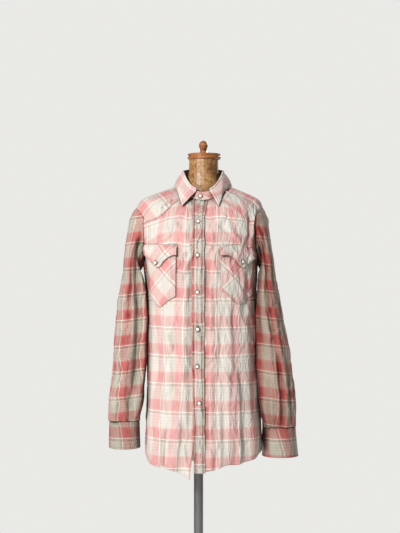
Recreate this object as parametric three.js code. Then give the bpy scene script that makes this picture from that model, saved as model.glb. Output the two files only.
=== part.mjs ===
import * as THREE from 'three';

// Millimetres, Z up. The front faces -Y and +X is the viewer's right, the wearer's left.
// The origin is the middle of the base's underside, on the axis of the pole.

// Cloth thicknesses and gaps
const CLOTH = 1.6;
const PATCH = 1.4;
const DOUBLE = 2;
const SEAM = 0.3;
const LIFT = 0.7;
const LAP = 2.6;

// Heights along the shirt, from the photo
const UNDERARM = 1215;
const SHOULDER_TIP = 1358;
const NECKLINE = 1410;
const SHOULDER_SEAM = 82;

// Snaps
const SNAP_RADIUS = 5.6;
const SNAP_HEIGHT = 3;

// Dress form
const POLE_RADIUS = 11.5;
const BASE_RADIUS = 150;
const TORSO_BOTTOM = 812;
const NECK_TOP = 1477.7;
const NECK_X = 13;

const colours = {
  cloth: 0xd9a49a,
  clothDark: 0xc98f84,
  metal: 0x77706a,
  torso: 0xb98a4a,
  wood: 0x8a4a22,
  steel: 0x84868a,
  iron: 0x3a3a3c,
};

// Rings of the shirt's body from below the hem to the neckline.
// xl and xr are its left and right edges, yf and yb its front and back,
// front, side and back the ring's height there, n how square its corners are.
const bodyRings = [
  { v: 660, xl: -133, xr: 160, yf: -119, yb: 127, front: 660, side: 660, back: 660, n: 2.1 },
  { v: 760, xl: -131, xr: 158, yf: -119, yb: 124, front: 760, side: 760, back: 760, n: 2.1 },
  { v: 860, xl: -128, xr: 153, yf: -118, yb: 119, front: 860, side: 860, back: 860, n: 2.15 },
  { v: 960, xl: -127, xr: 147, yf: -116, yb: 113, front: 960, side: 960, back: 960, n: 2.2 },
  { v: 1060, xl: -128, xr: 144, yf: -114, yb: 109, front: 1060, side: 1060, back: 1060, n: 2.2 },
  { v: 1150, xl: -131, xr: 144, yf: -114, yb: 109, front: 1150, side: 1150, back: 1150, n: 2.25 },
  { v: 1215, xl: -136, xr: 147, yf: -114, yb: 111, front: 1215, side: 1215, back: 1215, n: 2.3 },
  { v: 1270, xl: -143, xr: 152, yf: -111, yb: 111, front: 1266, side: 1270, back: 1270, n: 2.35 },
  { v: 1315, xl: -151, xr: 157, yf: -104, yb: 106, front: 1300, side: 1315, back: 1317, n: 2.35 },
  { v: 1345, xl: -156, xr: 161, yf: -95, yb: 97, front: 1322, side: 1344, back: 1350, n: 2.3 },
  { v: 1362, xl: -153, xr: 159, yf: -89, yb: 89, front: 1336, side: 1361, back: 1368, n: 2.3 },
  { v: 1378, xl: -138, xr: 148, yf: -83, yb: 81, front: 1348, side: 1379, back: 1385, n: 2.3 },
  { v: 1392, xl: -105, xr: 118, yf: -77, yb: 74, front: 1358, side: 1393, back: 1401, n: 2.2 },
  { v: 1402, xl: -76, xr: 93, yf: -71, yb: 68, front: 1366, side: 1403, back: 1412, n: 2.1 },
  { v: 1410, xl: -50, xr: 70, yf: -65, yb: 62, front: 1372, side: 1412, back: 1422, n: 2 },
  { v: 1420, xl: -22, xr: 44, yf: -58, yb: 55, front: 1380, side: 1421, back: 1434, n: 2 },
];

// Largest folds of the body: angle from the front, half width in degrees, how far it stands out,
// the heights it fades in and out at, and how many degrees it drifts on the way up
const bodyFolds = [
  { at: 18, wide: 8, out: 5, low: 640, high: 960, drift: -4 },
  { at: 36, wide: 7, out: 7, low: 640, high: 1010, drift: 5 },
  { at: 56, wide: 8, out: 5, low: 640, high: 930, drift: 8 },
  { at: -40, wide: 8, out: 6, low: 640, high: 900, drift: 5 },
  { at: -64, wide: 8, out: 4, low: 640, high: 960, drift: -4 },
  { at: 27, wide: 7, out: -4, low: 640, high: 930, drift: 0 },
  { at: 46, wide: 6, out: -4, low: 640, high: 900, drift: 6 },
  { at: -52, wide: 6, out: -4, low: 640, high: 880, drift: 0 },
  { at: 118, wide: 9, out: 5, low: 640, high: 1000, drift: 6 },
  { at: 142, wide: 9, out: -4, low: 640, high: 940, drift: 4 },
  { at: 162, wide: 9, out: 6, low: 640, high: 1060, drift: 2 },
  { at: 184, wide: 9, out: -4, low: 640, high: 960, drift: -3 },
  { at: 206, wide: 10, out: 6, low: 640, high: 1100, drift: -6 },
  { at: 234, wide: 9, out: 4, low: 640, high: 930, drift: -5 },
];

// Smooth value of one column of a table between its rows
function smooth(rows, key, at, column) {
  const last = rows.length - 1;
  let i = 0;
  while (i < last - 1 && at > rows[i + 1][key]) {
    i += 1;
  }
  const a = rows[i];
  const b = rows[i + 1];
  const before = rows[Math.max(i - 1, 0)];
  const after = rows[Math.min(i + 2, last)];
  const width = b[key] - a[key];
  const t = THREE.MathUtils.clamp((at - a[key]) / width, 0, 1);
  const startSlope = ((b[column] - before[column]) / (b[key] - before[key])) * width;
  const endSlope = ((after[column] - a[column]) / (after[key] - a[key])) * width;
  const square = t * t;
  const cube = square * t;
  const startPart = a[column] * (2 * cube - 3 * square + 1) + startSlope * (cube - 2 * square + t);
  const endPart = b[column] * (3 * square - 2 * cube) + endSlope * (cube - square);
  return startPart + endPart;
}

function ease(from, to, value) {
  const t = THREE.MathUtils.clamp((value - from) / (to - from), 0, 1);
  return t * t * (3 - 2 * t);
}

function mix(a, b, t) {
  return a + (b - a) * t;
}

// A squared oval ring, with its height changing from front to side to back
function ringPoint(ring, degrees, swell = 0) {
  const s = Math.sin(THREE.MathUtils.degToRad(degrees));
  const c = Math.cos(THREE.MathUtils.degToRad(degrees));
  const halfWidth = (ring.xr - ring.xl) / 2;
  const depth = c > 0 ? -ring.yf : ring.yb;
  const sum = Math.abs(s / halfWidth) ** ring.n + Math.abs(c / depth) ** ring.n;
  const radius = sum ** (-1 / ring.n) + swell;
  const height = ring.side * s * s + (c > 0 ? ring.front : ring.back) * c * c;
  return new THREE.Vector3((ring.xl + ring.xr) / 2 + radius * s, -radius * c, height);
}

function ringAt(rows, key, at) {
  const ring = {};
  for (const column of ['xl', 'xr', 'yf', 'yb', 'front', 'side', 'back', 'n']) {
    ring[column] = smooth(rows, key, at, column);
  }
  return ring;
}

function foldHeight(folds, degrees, v) {
  let sum = 0;
  for (const fold of folds) {
    const rise = (v - fold.low) / (fold.high - fold.low);
    const centre = fold.at + fold.drift * rise;
    const apart = ((((degrees - centre + 180) % 360) + 360) % 360) - 180;
    const along = ease(fold.low - 1, fold.low + 60, v) * ease(fold.high, fold.high - 150, v);
    sum += fold.out * along * Math.exp(-((apart / fold.wide) ** 2));
  }
  return sum;
}

// Outer face of the shirt's body at an angle and a height along it
function bodyPoint(degrees, v, folded = true) {
  const swell = folded ? foldHeight(bodyFolds, degrees, v) : 0;
  return ringPoint(ringAt(bodyRings, 'v', v), degrees, swell);
}

function bodyNormal(degrees, v, folded = true) {
  const across = bodyPoint(degrees + 1, v, folded).sub(bodyPoint(degrees - 1, v, folded));
  const up = bodyPoint(degrees, v + 2, folded).sub(bodyPoint(degrees, v - 2, folded));
  return across.cross(up).normalize();
}

// Place on the body's front that is seen at x and z from the front, as [angle, height along]
function seenAt(x, z) {
  let degrees = THREE.MathUtils.clamp(x / 2.2, -80, 80);
  let v = z;
  for (let i = 0; i < 60; i += 1) {
    const here = bodyPoint(degrees, v);
    const step = bodyPoint(degrees + 0.5, v).x - here.x;
    degrees += THREE.MathUtils.clamp((0.4 * (x - here.x)) / Math.max(step, 0.2), -4, 4);
    v += 0.8 * (z - here.z);
  }
  return [degrees, v];
}

// Closed thin body from an outer and an inner grid of points
function thinSolid(outer, inner, around = false) {
  const rows = outer.length;
  const columns = outer[0].length;
  const points = [...outer.flat(), ...inner.flat()];
  const inside = rows * columns;
  const index = [];
  const quad = (a, b, c, d) => index.push(a, b, c, a, c, d);
  const at = (row, column) => row * columns + (column % columns);
  const spans = around ? columns : columns - 1;
  for (let r = 0; r < rows - 1; r += 1) {
    for (let c = 0; c < spans; c += 1) {
      quad(at(r, c), at(r, c + 1), at(r + 1, c + 1), at(r + 1, c));
      quad(inside + at(r, c), inside + at(r + 1, c), inside + at(r + 1, c + 1), inside + at(r, c + 1));
    }
  }
  for (let c = 0; c < spans; c += 1) {
    const top = rows - 1;
    quad(at(0, c), inside + at(0, c), inside + at(0, c + 1), at(0, c + 1));
    quad(at(top, c), at(top, c + 1), inside + at(top, c + 1), inside + at(top, c));
  }
  if (!around) {
    for (let r = 0; r < rows - 1; r += 1) {
      const end = columns - 1;
      quad(at(r, 0), at(r + 1, 0), inside + at(r + 1, 0), inside + at(r, 0));
      quad(at(r, end), inside + at(r, end), inside + at(r + 1, end), at(r + 1, end));
    }
  }
  return indexedSolid(points, index);
}

// Geometry from points and triangles, turned so that its faces look out
function indexedSolid(points, index) {
  let volume = 0;
  for (let i = 0; i < index.length; i += 3) {
    const normal = new THREE.Vector3().crossVectors(points[index[i + 1]], points[index[i + 2]]);
    volume += points[index[i]].dot(normal);
  }
  const faces = volume > 0 ? index : [...index].reverse();
  const geometry = new THREE.BufferGeometry();
  const flat = points.flatMap((point) => point.toArray());
  geometry.setAttribute('position', new THREE.Float32BufferAttribute(flat, 3));
  geometry.setIndex(faces);
  geometry.computeVertexNormals();
  return geometry;
}

const shirt = new THREE.Group();
shirt.name = 'western_snap_shirt';

function add(name, geometry, colour, roughness = 0.9, metalness = 0) {
  const material = new THREE.MeshStandardMaterial({ color: colour, roughness, metalness });
  const mesh = new THREE.Mesh(geometry, material);
  mesh.name = name;
  shirt.add(mesh);
}

// A curve through places on the body, [angle, height along], read from 0 to 1
function through(places) {
  const rows = places.map(([angle, v], i) => ({ t: i / (places.length - 1), angle, v }));
  return (t) => [smooth(rows, 't', t, 'angle'), smooth(rows, 't', t, 'v')];
}

function straight(from, to) {
  return (t) => [mix(from[0], to[0], t), mix(from[1], to[1], t)];
}

function joined(first, second, share) {
  return (t) => (t < share ? first(t / share) : second((t - share) / (1 - share)));
}

function backwards(curve) {
  return (t) => curve(1 - t);
}

// Fills the area between four curves on the body
function filled(bottom, top, start, end) {
  const corner = [bottom(0), bottom(1), top(0), top(1)];
  return (s, t) => {
    const value = (k) => {
      const rising = mix(bottom(s)[k], top(s)[k], t);
      const across = mix(start(t)[k], end(t)[k], s);
      const low = mix(corner[0][k], corner[1][k], s);
      const high = mix(corner[2][k], corner[3][k], s);
      return rising + across - mix(low, high, t);
    };
    return [value(0), value(1)];
  };
}

// Draws the edges of a grid in by half a seam, so that sewn pieces stay apart
function seamAllowance(grids) {
  const rows = grids[0].length;
  const columns = grids[0][0].length;
  for (const grid of grids) {
    const from = grid.map((row) => row.map((point) => point.clone()));
    const draw = (point, within, before, after) => {
      const edge = after.clone().sub(before).normalize();
      const way = within.clone().sub(point);
      way.addScaledVector(edge, -way.dot(edge)).normalize();
      return way.multiplyScalar(SEAM / 2);
    };
    for (let c = 0; c < columns; c += 1) {
      const before = Math.max(c - 1, 0);
      const after = Math.min(c + 1, columns - 1);
      for (const [edge, within] of [[0, 1], [rows - 1, rows - 2]]) {
        grid[edge][c].add(draw(from[edge][c], from[within][c], from[edge][before], from[edge][after]));
      }
    }
    for (let r = 0; r < rows; r += 1) {
      const before = Math.max(r - 1, 0);
      const after = Math.min(r + 1, rows - 1);
      for (const [edge, within] of [[0, 1], [columns - 1, columns - 2]]) {
        grid[r][edge].add(draw(from[r][edge], from[r][within], from[before][edge], from[after][edge]));
      }
    }
  }
}

// A piece of cloth on the body. low(angle, v, row) is how far its inner face lies off the body.
function bodyPiece(name, area, columns, rows, low, thick, colour = colours.cloth) {
  const outer = [];
  const inner = [];
  for (let r = 0; r <= rows; r += 1) {
    const outerRow = [];
    const innerRow = [];
    for (let c = 0; c <= columns; c += 1) {
      const [angle, v] = area(c / columns, r / rows);
      const point = bodyPoint(angle, v);
      const normal = bodyNormal(angle, v);
      const off = low(angle, v, r / rows, c / columns);
      innerRow.push(point.clone().addScaledVector(normal, off));
      outerRow.push(point.clone().addScaledVector(normal, off + thick));
    }
    outer.push(outerRow);
    inner.push(innerRow);
  }
  seamAllowance([outer, inner]);
  add(name, thinSolid(outer, inner), colour);
}

// Edges that the pieces of the body share. Left and right are the viewer's.
const armholeFront = {
  lower: [[90, UNDERARM], [80, 1224], [72, 1250], [68, 1280], [66.5, 1303], [66.5, 1322]],
  upper: [[66.5, 1322], [68, 1336], [71.5, 1347], [76.5, 1354], [SHOULDER_SEAM, SHOULDER_TIP]],
};
const armholeBack = {
  lower: [[90, UNDERARM], [100, 1226], [108, 1254], [112, 1284], [113.5, 1308], [113.5, 1328]],
  upper: [[113.5, 1328], [111.5, 1342], [105, 1352], [94, 1357], [SHOULDER_SEAM, SHOULDER_TIP]],
};
const onSide = (places, side) => places.map(([angle, v]) => [angle * side, v]);
const roundBack = (places, side) => places.map(([angle, v]) => [side > 0 ? angle : 360 - angle, v]);

// Hem of each front from the centre to the side seam, as seen from the front
const hemRight = [[-21.6, 699], [-45, 713], [-76, 724], [-104, 726]].map(([x, z]) => seenAt(x, z));
hemRight.push([-76, 741], [-90, 757]);
const hemLeft = [[-10, 716], [18, 720], [40, 724], [66, 734], [100, 735]].map(([x, z]) => seenAt(x, z));
hemLeft.push([74, 754], [90, 786]);
const hemBack = [[90, 786], [112, 748], [138, 724], [180, 712], [222, 722], [248, 736], [270, 757]];

// Centre edges. The right front runs under the left one and swings away below the last snap.
const edgeRight = [
  { x: -21.6, z: 699 }, { x: -16, z: 760 }, { x: -7, z: 815 }, { x: 5, z: 865 }, { x: 11, z: 930 },
  { x: 12, z: 1060 }, { x: 12, z: 1180 }, { x: 12, z: 1280 }, { x: 13, z: 1345 },
];
const plackets = [
  { z: 715, left: -10, right: 16 }, { z: 800, left: -11, right: 15.5 }, { z: 884, left: -13, right: 15 },
  { z: 972, left: -16, right: 13.5 }, { z: 1061, left: -16, right: 14 }, { z: 1151, left: -17, right: 14 },
  { z: 1240, left: -16, right: 14 }, { z: 1302, left: -13, right: 14 }, { z: 1352, left: -12, right: 18 },
];
const NECK_EDGE_RIGHT = [2, NECKLINE];
const NECK_EDGE_LEFT = [-20, NECKLINE];
const centreRight = through([...edgeRight.map(({ x, z }) => seenAt(x, z)), NECK_EDGE_RIGHT]);
const centreLeft = through([
  ...plackets.map(({ left, z }) => seenAt(left + 0.8, z)),
  NECK_EDGE_LEFT,
]);

// Lower edge of each front yoke, from the neckline to the armhole
const yokeLineRight = [
  [-38, NECKLINE], seenAt(-50, 1374), seenAt(-76, 1351), seenAt(-99, 1330), [-66.5, 1322],
];
const yokeLineLeft = [
  [33, NECKLINE], seenAt(58, 1373), seenAt(88, 1354), seenAt(118, 1329), [66.5, 1322],
];
const yokeLineBack = [
  [113.5, 1328], [136, 1322], [158, 1306], [180, 1288], [202, 1306], [224, 1322], [246.5, 1328],
];

const NECK_COLUMNS = 3;
const YOKE_COLUMNS = 7;
const FRONT_COLUMNS = NECK_COLUMNS + YOKE_COLUMNS;
const SEAM_ROWS = 12;
const ARMHOLE_ROWS = 5;
const PANEL_ROWS = SEAM_ROWS + ARMHOLE_ROWS;
const YOKE_ROWS = 4;
const BACK_YOKE_ROWS = 8;
const BACK_NECK_COLUMNS = 10;
const BACK_COLUMNS = 2 * YOKE_COLUMNS + BACK_NECK_COLUMNS;

// Side seam and lower armhole as one edge, from the hem up
function sideEdge(hemEnd, lowerArmhole) {
  const seam = straight(hemEnd, lowerArmhole[0]);
  return joined(seam, through(lowerArmhole), SEAM_ROWS / PANEL_ROWS);
}

function frontPiece(name, side, hem, centre, neckEdge, yokeLine, low) {
  const neck = straight(neckEdge, yokeLine[0]);
  const top = joined(neck, through(yokeLine), NECK_COLUMNS / FRONT_COLUMNS);
  const edge = sideEdge(hem[hem.length - 1], onSide(armholeFront.lower, side));
  bodyPiece(name, filled(through(hem), top, centre, edge), FRONT_COLUMNS, PANEL_ROWS, low, CLOTH);
}

// Right front: set back near the centre, where the left front lies over it
const underLap = (angle, v, up, across) => -CLOTH - LAP * ease(0.4, 0.2, across);
frontPiece('front_right', -1, hemRight, centreRight, NECK_EDGE_RIGHT, yokeLineRight, underLap);
frontPiece('front_left', 1, hemLeft, centreLeft, NECK_EDGE_LEFT, yokeLineLeft, () => -CLOTH);

const backStart = sideEdge(hemBack[0], onSide(armholeBack.lower, 1));
const backEnd = sideEdge(hemBack[6], roundBack(armholeBack.lower, -1));
const backArea = filled(through(hemBack), through(yokeLineBack), backStart, backEnd);
bodyPiece('back', backArea, BACK_COLUMNS, PANEL_ROWS, () => -CLOTH, CLOTH);

// Yokes
function frontYoke(name, side, yokeLine) {
  const seam = straight([SHOULDER_SEAM * side, NECKLINE], [SHOULDER_SEAM * side, SHOULDER_TIP]);
  const neck = straight(yokeLine[0], [SHOULDER_SEAM * side, NECKLINE]);
  const armhole = through(onSide(armholeFront.upper, side));
  const area = filled(through(yokeLine), seam, neck, armhole);
  bodyPiece(name, area, YOKE_COLUMNS, YOKE_ROWS, () => -CLOTH, CLOTH, colours.clothDark);
}
frontYoke('yoke_front_right', -1, yokeLineRight);
frontYoke('yoke_front_left', 1, yokeLineLeft);

const backShoulder = straight([SHOULDER_SEAM, SHOULDER_TIP], [SHOULDER_SEAM, NECKLINE]);
const backNeck = straight([SHOULDER_SEAM, NECKLINE], [360 - SHOULDER_SEAM, NECKLINE]);
const farShoulder = straight([360 - SHOULDER_SEAM, NECKLINE], [360 - SHOULDER_SEAM, SHOULDER_TIP]);
const shoulderShare = YOKE_COLUMNS / BACK_COLUMNS;
const yokeBackTop = joined(
  backShoulder,
  joined(backNeck, farShoulder, BACK_NECK_COLUMNS / (BACK_NECK_COLUMNS + YOKE_COLUMNS)),
  shoulderShare,
);
const yokeBackArea = filled(
  through(yokeLineBack),
  yokeBackTop,
  through(onSide(armholeBack.upper, 1)),
  through(roundBack(armholeBack.upper, -1)),
);
bodyPiece('yoke_back', yokeBackArea, BACK_COLUMNS, BACK_YOKE_ROWS, () => -CLOTH, CLOTH, colours.clothDark);

// Placket, sewn on the edge of the left front
const placketStart = through([...plackets.map(({ left, z }) => seenAt(left, z)), NECK_EDGE_LEFT]);
const placketEnd = through([...plackets.map(({ right, z }) => seenAt(right, z)), [10, NECKLINE]]);
const placketArea = (s, t) => {
  const start = placketStart(t);
  const end = placketEnd(t);
  return [mix(start[0], end[0], s), mix(start[1], end[1], s)];
};
bodyPiece('placket', placketArea, 2, PANEL_ROWS, () => LIFT, CLOTH);

// Pockets and flaps. Outlines run from the inner corner to the outer one, angle and height.
const pocketRight = {
  top: [[-29, 1256], [-49, 1257], [-68, 1257]],
  bottom: [[-30, 1141], [-37, 1133], [-44, 1122], [-50, 1115], [-56, 1122], [-62, 1133], [-68, 1141]],
};
const pocketLeft = {
  top: [[23, 1248], [46, 1252], [66, 1243]],
  bottom: [[24, 1157], [31, 1147], [38, 1133], [46, 1122], [53, 1128], [60, 1138], [66, 1147]],
};
const flapRight = {
  top: [[-28, 1266], [-49, 1267], [-68, 1267]],
  bottom: [[-28, 1241], [-36, 1237], [-43, 1223], [-50, 1211], [-57, 1223], [-63, 1237], [-69, 1241]],
};
const flapLeft = {
  top: [[22, 1259], [35, 1266], [47, 1266], [58, 1260], [67, 1253]],
  bottom: [[23, 1240], [31, 1241], [40, 1226], [48, 1210], [55, 1220], [61, 1230], [67, 1232]],
};

function patchPiece(name, outline, rows, low) {
  const { top, bottom } = outline;
  const start = straight(bottom[0], top[0]);
  const end = straight(bottom[bottom.length - 1], top[top.length - 1]);
  bodyPiece(name, filled(through(bottom), through(top), start, end), 6, rows, low, PATCH, colours.clothDark);
}
const overPocket = LIFT + PATCH + LIFT;
const flapOff = (angle, v, up) => mix(overPocket + 1.2, LIFT, ease(0.66, 1, up));
patchPiece('pocket_right', pocketRight, 4, () => LIFT);
patchPiece('pocket_left', pocketLeft, 4, () => LIFT);
patchPiece('flap_right', flapRight, 3, flapOff);
patchPiece('flap_left', flapLeft, 3, flapOff);

// Snaps: a domed cap on a metal rim
function snapGeometry() {
  const profile = [
    [0, 0], [SNAP_RADIUS - 0.5, 0], [SNAP_RADIUS, 0.6], [SNAP_RADIUS - 0.3, 1.7],
    [SNAP_RADIUS - 1.6, 2.5], [0, SNAP_HEIGHT],
  ];
  return new THREE.LatheGeometry(profile.map(([x, y]) => new THREE.Vector2(x, y)), 12);
}

function addSnap(name, place, normal) {
  const turn = new THREE.Quaternion().setFromUnitVectors(new THREE.Vector3(0, 1, 0), normal);
  const geometry = snapGeometry().applyQuaternion(turn).translate(place.x, place.y, place.z);
  add(name, geometry, colours.metal, 0.4, 0.3);
}

function snapOnBody(name, x, z, off) {
  const [angle, v] = seenAt(x, z);
  const normal = bodyNormal(angle, v);
  addSnap(name, bodyPoint(angle, v).addScaledVector(normal, off), normal);
}

const frontSnaps = [
  { x: -1, z: 1320 }, { x: -2.5, z: 1240 }, { x: -2.5, z: 1151 },
  { x: -1.7, z: 1061.5 }, { x: -3, z: 972 }, { x: 2, z: 884 },
];
frontSnaps.forEach(({ x, z }, i) => snapOnBody(`snap_front_${i + 2}`, x, z, LIFT + CLOTH + 0.5));
snapOnBody('snap_pocket_right', -100, 1222, overPocket + 1.2 + PATCH + 0.5);
snapOnBody('snap_pocket_left', 103.5, 1224, overPocket + 1.2 + PATCH + 0.5);

// Collar stand: a strip round the neck, its under end first, both ends lapping at the front
const STAND_UNDER_END = 2;
const STAND_TURN = 382;
const standRings = [
  { w: 0, xl: -49.7, xr: 69.7, yf: -65, yb: 62, front: 1373.8, side: 1413.4, back: 1423.4, n: 2 },
  { w: 0.5, xl: -44, xr: 66, yf: -63.5, yb: 58.5, front: 1384, side: 1429, back: 1438, n: 2 },
  { w: 1, xl: -38, xr: 60.5, yf: -61, yb: 54, front: 1395, side: 1446, back: 1455, n: 2 },
];

function stripRound(name, ringOf, from, turn, columns, rows, colour, setBackAt) {
  const outer = [];
  const inner = [];
  for (let r = 0; r <= rows; r += 1) {
    const outerRow = [];
    const innerRow = [];
    for (let c = 0; c <= columns; c += 1) {
      const share = c / columns;
      const angle = from - turn * share;
      const point = ringPoint(ringOf(r / rows), angle);
      const across = ringPoint(ringOf(r / rows), angle + 1).sub(ringPoint(ringOf(r / rows), angle - 1));
      const rise = ringPoint(ringOf(1), angle).sub(ringPoint(ringOf(0), angle));
      const normal = across.cross(rise).normalize();
      const off = -setBackAt(turn * share);
      outerRow.push(point.clone().addScaledVector(normal, off));
      innerRow.push(point.clone().addScaledVector(normal, off - DOUBLE));
    }
    outer.push(outerRow);
    inner.push(innerRow);
  }
  add(name, thinSolid(outer, inner), colour);
}
const standRing = (w) => ringAt(standRings, 'w', w);
const setBack = (turned) => (DOUBLE + 0.5) * ease(44, 24, turned);
stripRound('collar_stand', standRing, STAND_UNDER_END, STAND_TURN, 34, 2, colours.cloth, setBack);
const standSnap = ringPoint(standRing(0.5), -6).add(new THREE.Vector3(0, -0.9, 0.2));
addSnap('snap_front_1', standSnap, new THREE.Vector3(0, -1, 0.15).normalize());

// Collar: from the fold over the stand down to its outer edge, which lies on the shoulders
const foldRing = { xl: -38, xr: 60.5, yf: -61, yb: 54, front: 1397, side: 1448, back: 1457, n: 2 };
const collarEdge = [
  { at: -15, place: seenAt(-40, 1357), lift: 5.5 },
  { at: -36, place: seenAt(-45, 1373), lift: 4.5 },
  { at: -60, place: seenAt(-51, 1390), lift: 4.6 },
  { at: -90, place: [-90, 1407], lift: 4.4 },
  { at: -135, place: [-135, 1403], lift: 4 },
  { at: -180, place: [-180, 1401], lift: 3.4 },
  { at: -225, place: [-225, 1403], lift: 4 },
  { at: -270, place: [-270, 1406], lift: 5.4 },
  { at: -300, place: seenAt(62, 1390), lift: 5.2 },
  { at: -325, place: seenAt(56, 1373), lift: 4.5 },
  { at: -345, place: seenAt(49, 1357), lift: 5.5 },
];
collarEdge.forEach((row) => {
  const [angle, v] = row.place;
  row.point = bodyPoint(angle, v).addScaledVector(bodyNormal(angle, v), row.lift);
});

const COLLAR_COLUMNS = 30;
const foldRows = [{ out: -1.4, up: 3 }, { out: 2.2, up: 2.6 }, { out: 3.6, up: -2.4 }];
const COLLAR_FALL_ROWS = 3;

function collarGrid() {
  const grid = [];
  const edgeRows = collarEdge.map(({ at, point }) => ({ at: -at, x: point.x, y: point.y, z: point.z }));
  for (let r = 0; r < foldRows.length + COLLAR_FALL_ROWS; r += 1) {
    const row = [];
    for (let c = 0; c <= COLLAR_COLUMNS; c += 1) {
      const at = -mix(-15, -345, c / COLLAR_COLUMNS);
      const fold = ringPoint(foldRing, -at);
      const angle = THREE.MathUtils.degToRad(-at);
      const away = new THREE.Vector3(Math.sin(angle), -Math.cos(angle), 0);
      const turn = foldRows[Math.min(r, foldRows.length - 1)];
      const point = fold.addScaledVector(away, turn.out);
      point.z += turn.up;
      if (r >= foldRows.length) {
        const share = (r - foldRows.length + 1) / COLLAR_FALL_ROWS;
        const x = smooth(edgeRows, 'at', at, 'x');
        const y = smooth(edgeRows, 'at', at, 'y');
        const z = smooth(edgeRows, 'at', at, 'z');
        point.lerp(new THREE.Vector3(x, y, z), share);
        point.addScaledVector(away, 2.4 * Math.sin(Math.PI * share));
      }
      row.push(point);
    }
    grid.push(row);
  }
  return grid;
}

// Normals of a grid of points, from its neighbours
function gridNormals(grid, around) {
  const rows = grid.length;
  const columns = grid[0].length;
  return grid.map((row, r) => row.map((point, c) => {
    const nextC = around ? (c + 1) % columns : Math.min(c + 1, columns - 1);
    const lastC = around ? (c + columns - 1) % columns : Math.max(c - 1, 0);
    const across = grid[r][nextC].clone().sub(grid[r][lastC]);
    const down = grid[Math.min(r + 1, rows - 1)][c].clone().sub(grid[Math.max(r - 1, 0)][c]);
    return down.cross(across).normalize();
  }));
}

function offsetGrid(grid, normals, distance) {
  return grid.map((row, r) => row.map((point, c) => point.clone().addScaledVector(normals[r][c], distance)));
}

const collar = collarGrid();
const collarNormals = gridNormals(collar, false);
const collarOut = Math.sign(collarNormals[4][8].dot(collar[4][8].clone().setZ(0)));
add('collar', thinSolid(collar, offsetGrid(collar, collarNormals, -collarOut * DOUBLE)), colours.cloth);

// Sleeves: rings from the armhole to the cuff. xo, zo is the outer edge of a ring and xi, zi
// the inner one, seen from the front; yc its middle, deep its half depth and
// arm how much of the armhole's own shape it still has.
const sleeveRight = [
  { t: 1, xo: -167, zo: 1345, xi: -141, zi: 1208, yc: -1, deep: 60, arm: 0.85 },
  { t: 2, xo: -174, zo: 1318, xi: -141, zi: 1196, yc: -1, deep: 63, arm: 0.55 },
  { t: 3, xo: -180, zo: 1280, xi: -140, zi: 1180, yc: -2, deep: 66, arm: 0.25 },
  { t: 4, xo: -184, zo: 1238, xi: -136, zi: 1158, yc: -3, deep: 67, arm: 0 },
  { t: 5, xo: -188, zo: 1194, xi: -131, zi: 1132, yc: -4, deep: 67, arm: 0 },
  { t: 6, xo: -196, zo: 1148, xi: -127, zi: 1102, yc: -5, deep: 65, arm: 0 },
  { t: 7, xo: -200, zo: 1098, xi: -126, zi: 1068, yc: -6, deep: 62, arm: 0 },
  { t: 8, xo: -203, zo: 1048, xi: -129, zi: 1028, yc: -8, deep: 59, arm: 0 },
  { t: 9, xo: -207, zo: 998, xi: -132, zi: 986, yc: -10, deep: 57, arm: 0 },
  { t: 10, xo: -211, zo: 948, xi: -137, zi: 942, yc: -11, deep: 54, arm: 0 },
  { t: 11, xo: -216, zo: 902, xi: -142, zi: 898, yc: -12, deep: 51, arm: 0 },
  { t: 12, xo: -221, zo: 860, xi: -144.5, zi: 858, yc: -12, deep: 46, arm: 0 },
  { t: 13, xo: -221.5, zo: 833, xi: -146, zi: 832, yc: -12, deep: 36, arm: 0 },
];
const sleeveLeft = [
  { t: 1, xo: 168, zo: 1345, xi: 151, zi: 1208, yc: -1, deep: 60, arm: 0.85 },
  { t: 2, xo: 172, zo: 1316, xi: 151, zi: 1196, yc: -1, deep: 63, arm: 0.55 },
  { t: 3, xo: 178, zo: 1278, xi: 149, zi: 1180, yc: -1, deep: 66, arm: 0.25 },
  { t: 4, xo: 184, zo: 1236, xi: 146, zi: 1158, yc: -1, deep: 67, arm: 0 },
  { t: 5, xo: 188, zo: 1192, xi: 143, zi: 1130, yc: -2, deep: 67, arm: 0 },
  { t: 6, xo: 197, zo: 1146, xi: 141, zi: 1100, yc: -3, deep: 65, arm: 0 },
  { t: 7, xo: 206, zo: 1096, xi: 142, zi: 1064, yc: -5, deep: 62, arm: 0 },
  { t: 8, xo: 217, zo: 1046, xi: 145, zi: 1024, yc: -7, deep: 59, arm: 0 },
  { t: 9, xo: 225, zo: 994, xi: 147, zi: 980, yc: -9, deep: 57, arm: 0 },
  { t: 10, xo: 232, zo: 942, xi: 150, zi: 932, yc: -11, deep: 54, arm: 0 },
  { t: 11, xo: 236, zo: 892, xi: 155, zi: 886, yc: -12, deep: 51, arm: 0 },
  { t: 12, xo: 240, zo: 846, xi: 158, zi: 842, yc: -13, deep: 46, arm: 0 },
  { t: 13, xo: 241, zo: 818, xi: 158.6, zi: 817, yc: -12.5, deep: 37.5, arm: 0 },
];

// Largest rumples of the sleeves: ring, angle round it, how far they stand out
const sleeveRumples = [
  { t: 3.4, at: 70, out: 4 }, { t: 5.2, at: 300, out: 4 }, { t: 6.4, at: 40, out: 3 },
  { t: 7.6, at: 110, out: -4 }, { t: 8.4, at: 330, out: 4 }, { t: 9.3, at: 70, out: 4 },
  { t: 10.2, at: 250, out: -4 }, { t: 11, at: 20, out: 3.5 }, { t: 11.6, at: 120, out: 4 },
];

// How far the side of the body reaches at a depth and a height
function bodySide(y, z, side) {
  const ring = ringAt(bodyRings, 'v', z);
  const depth = y < 0 ? -ring.yf : ring.yb;
  const rest = Math.max(1 - Math.abs(y / depth) ** ring.n, 0) ** (1 / ring.n);
  return (ring.xl + ring.xr) / 2 + (side * rest * (ring.xr - ring.xl)) / 2;
}

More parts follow.
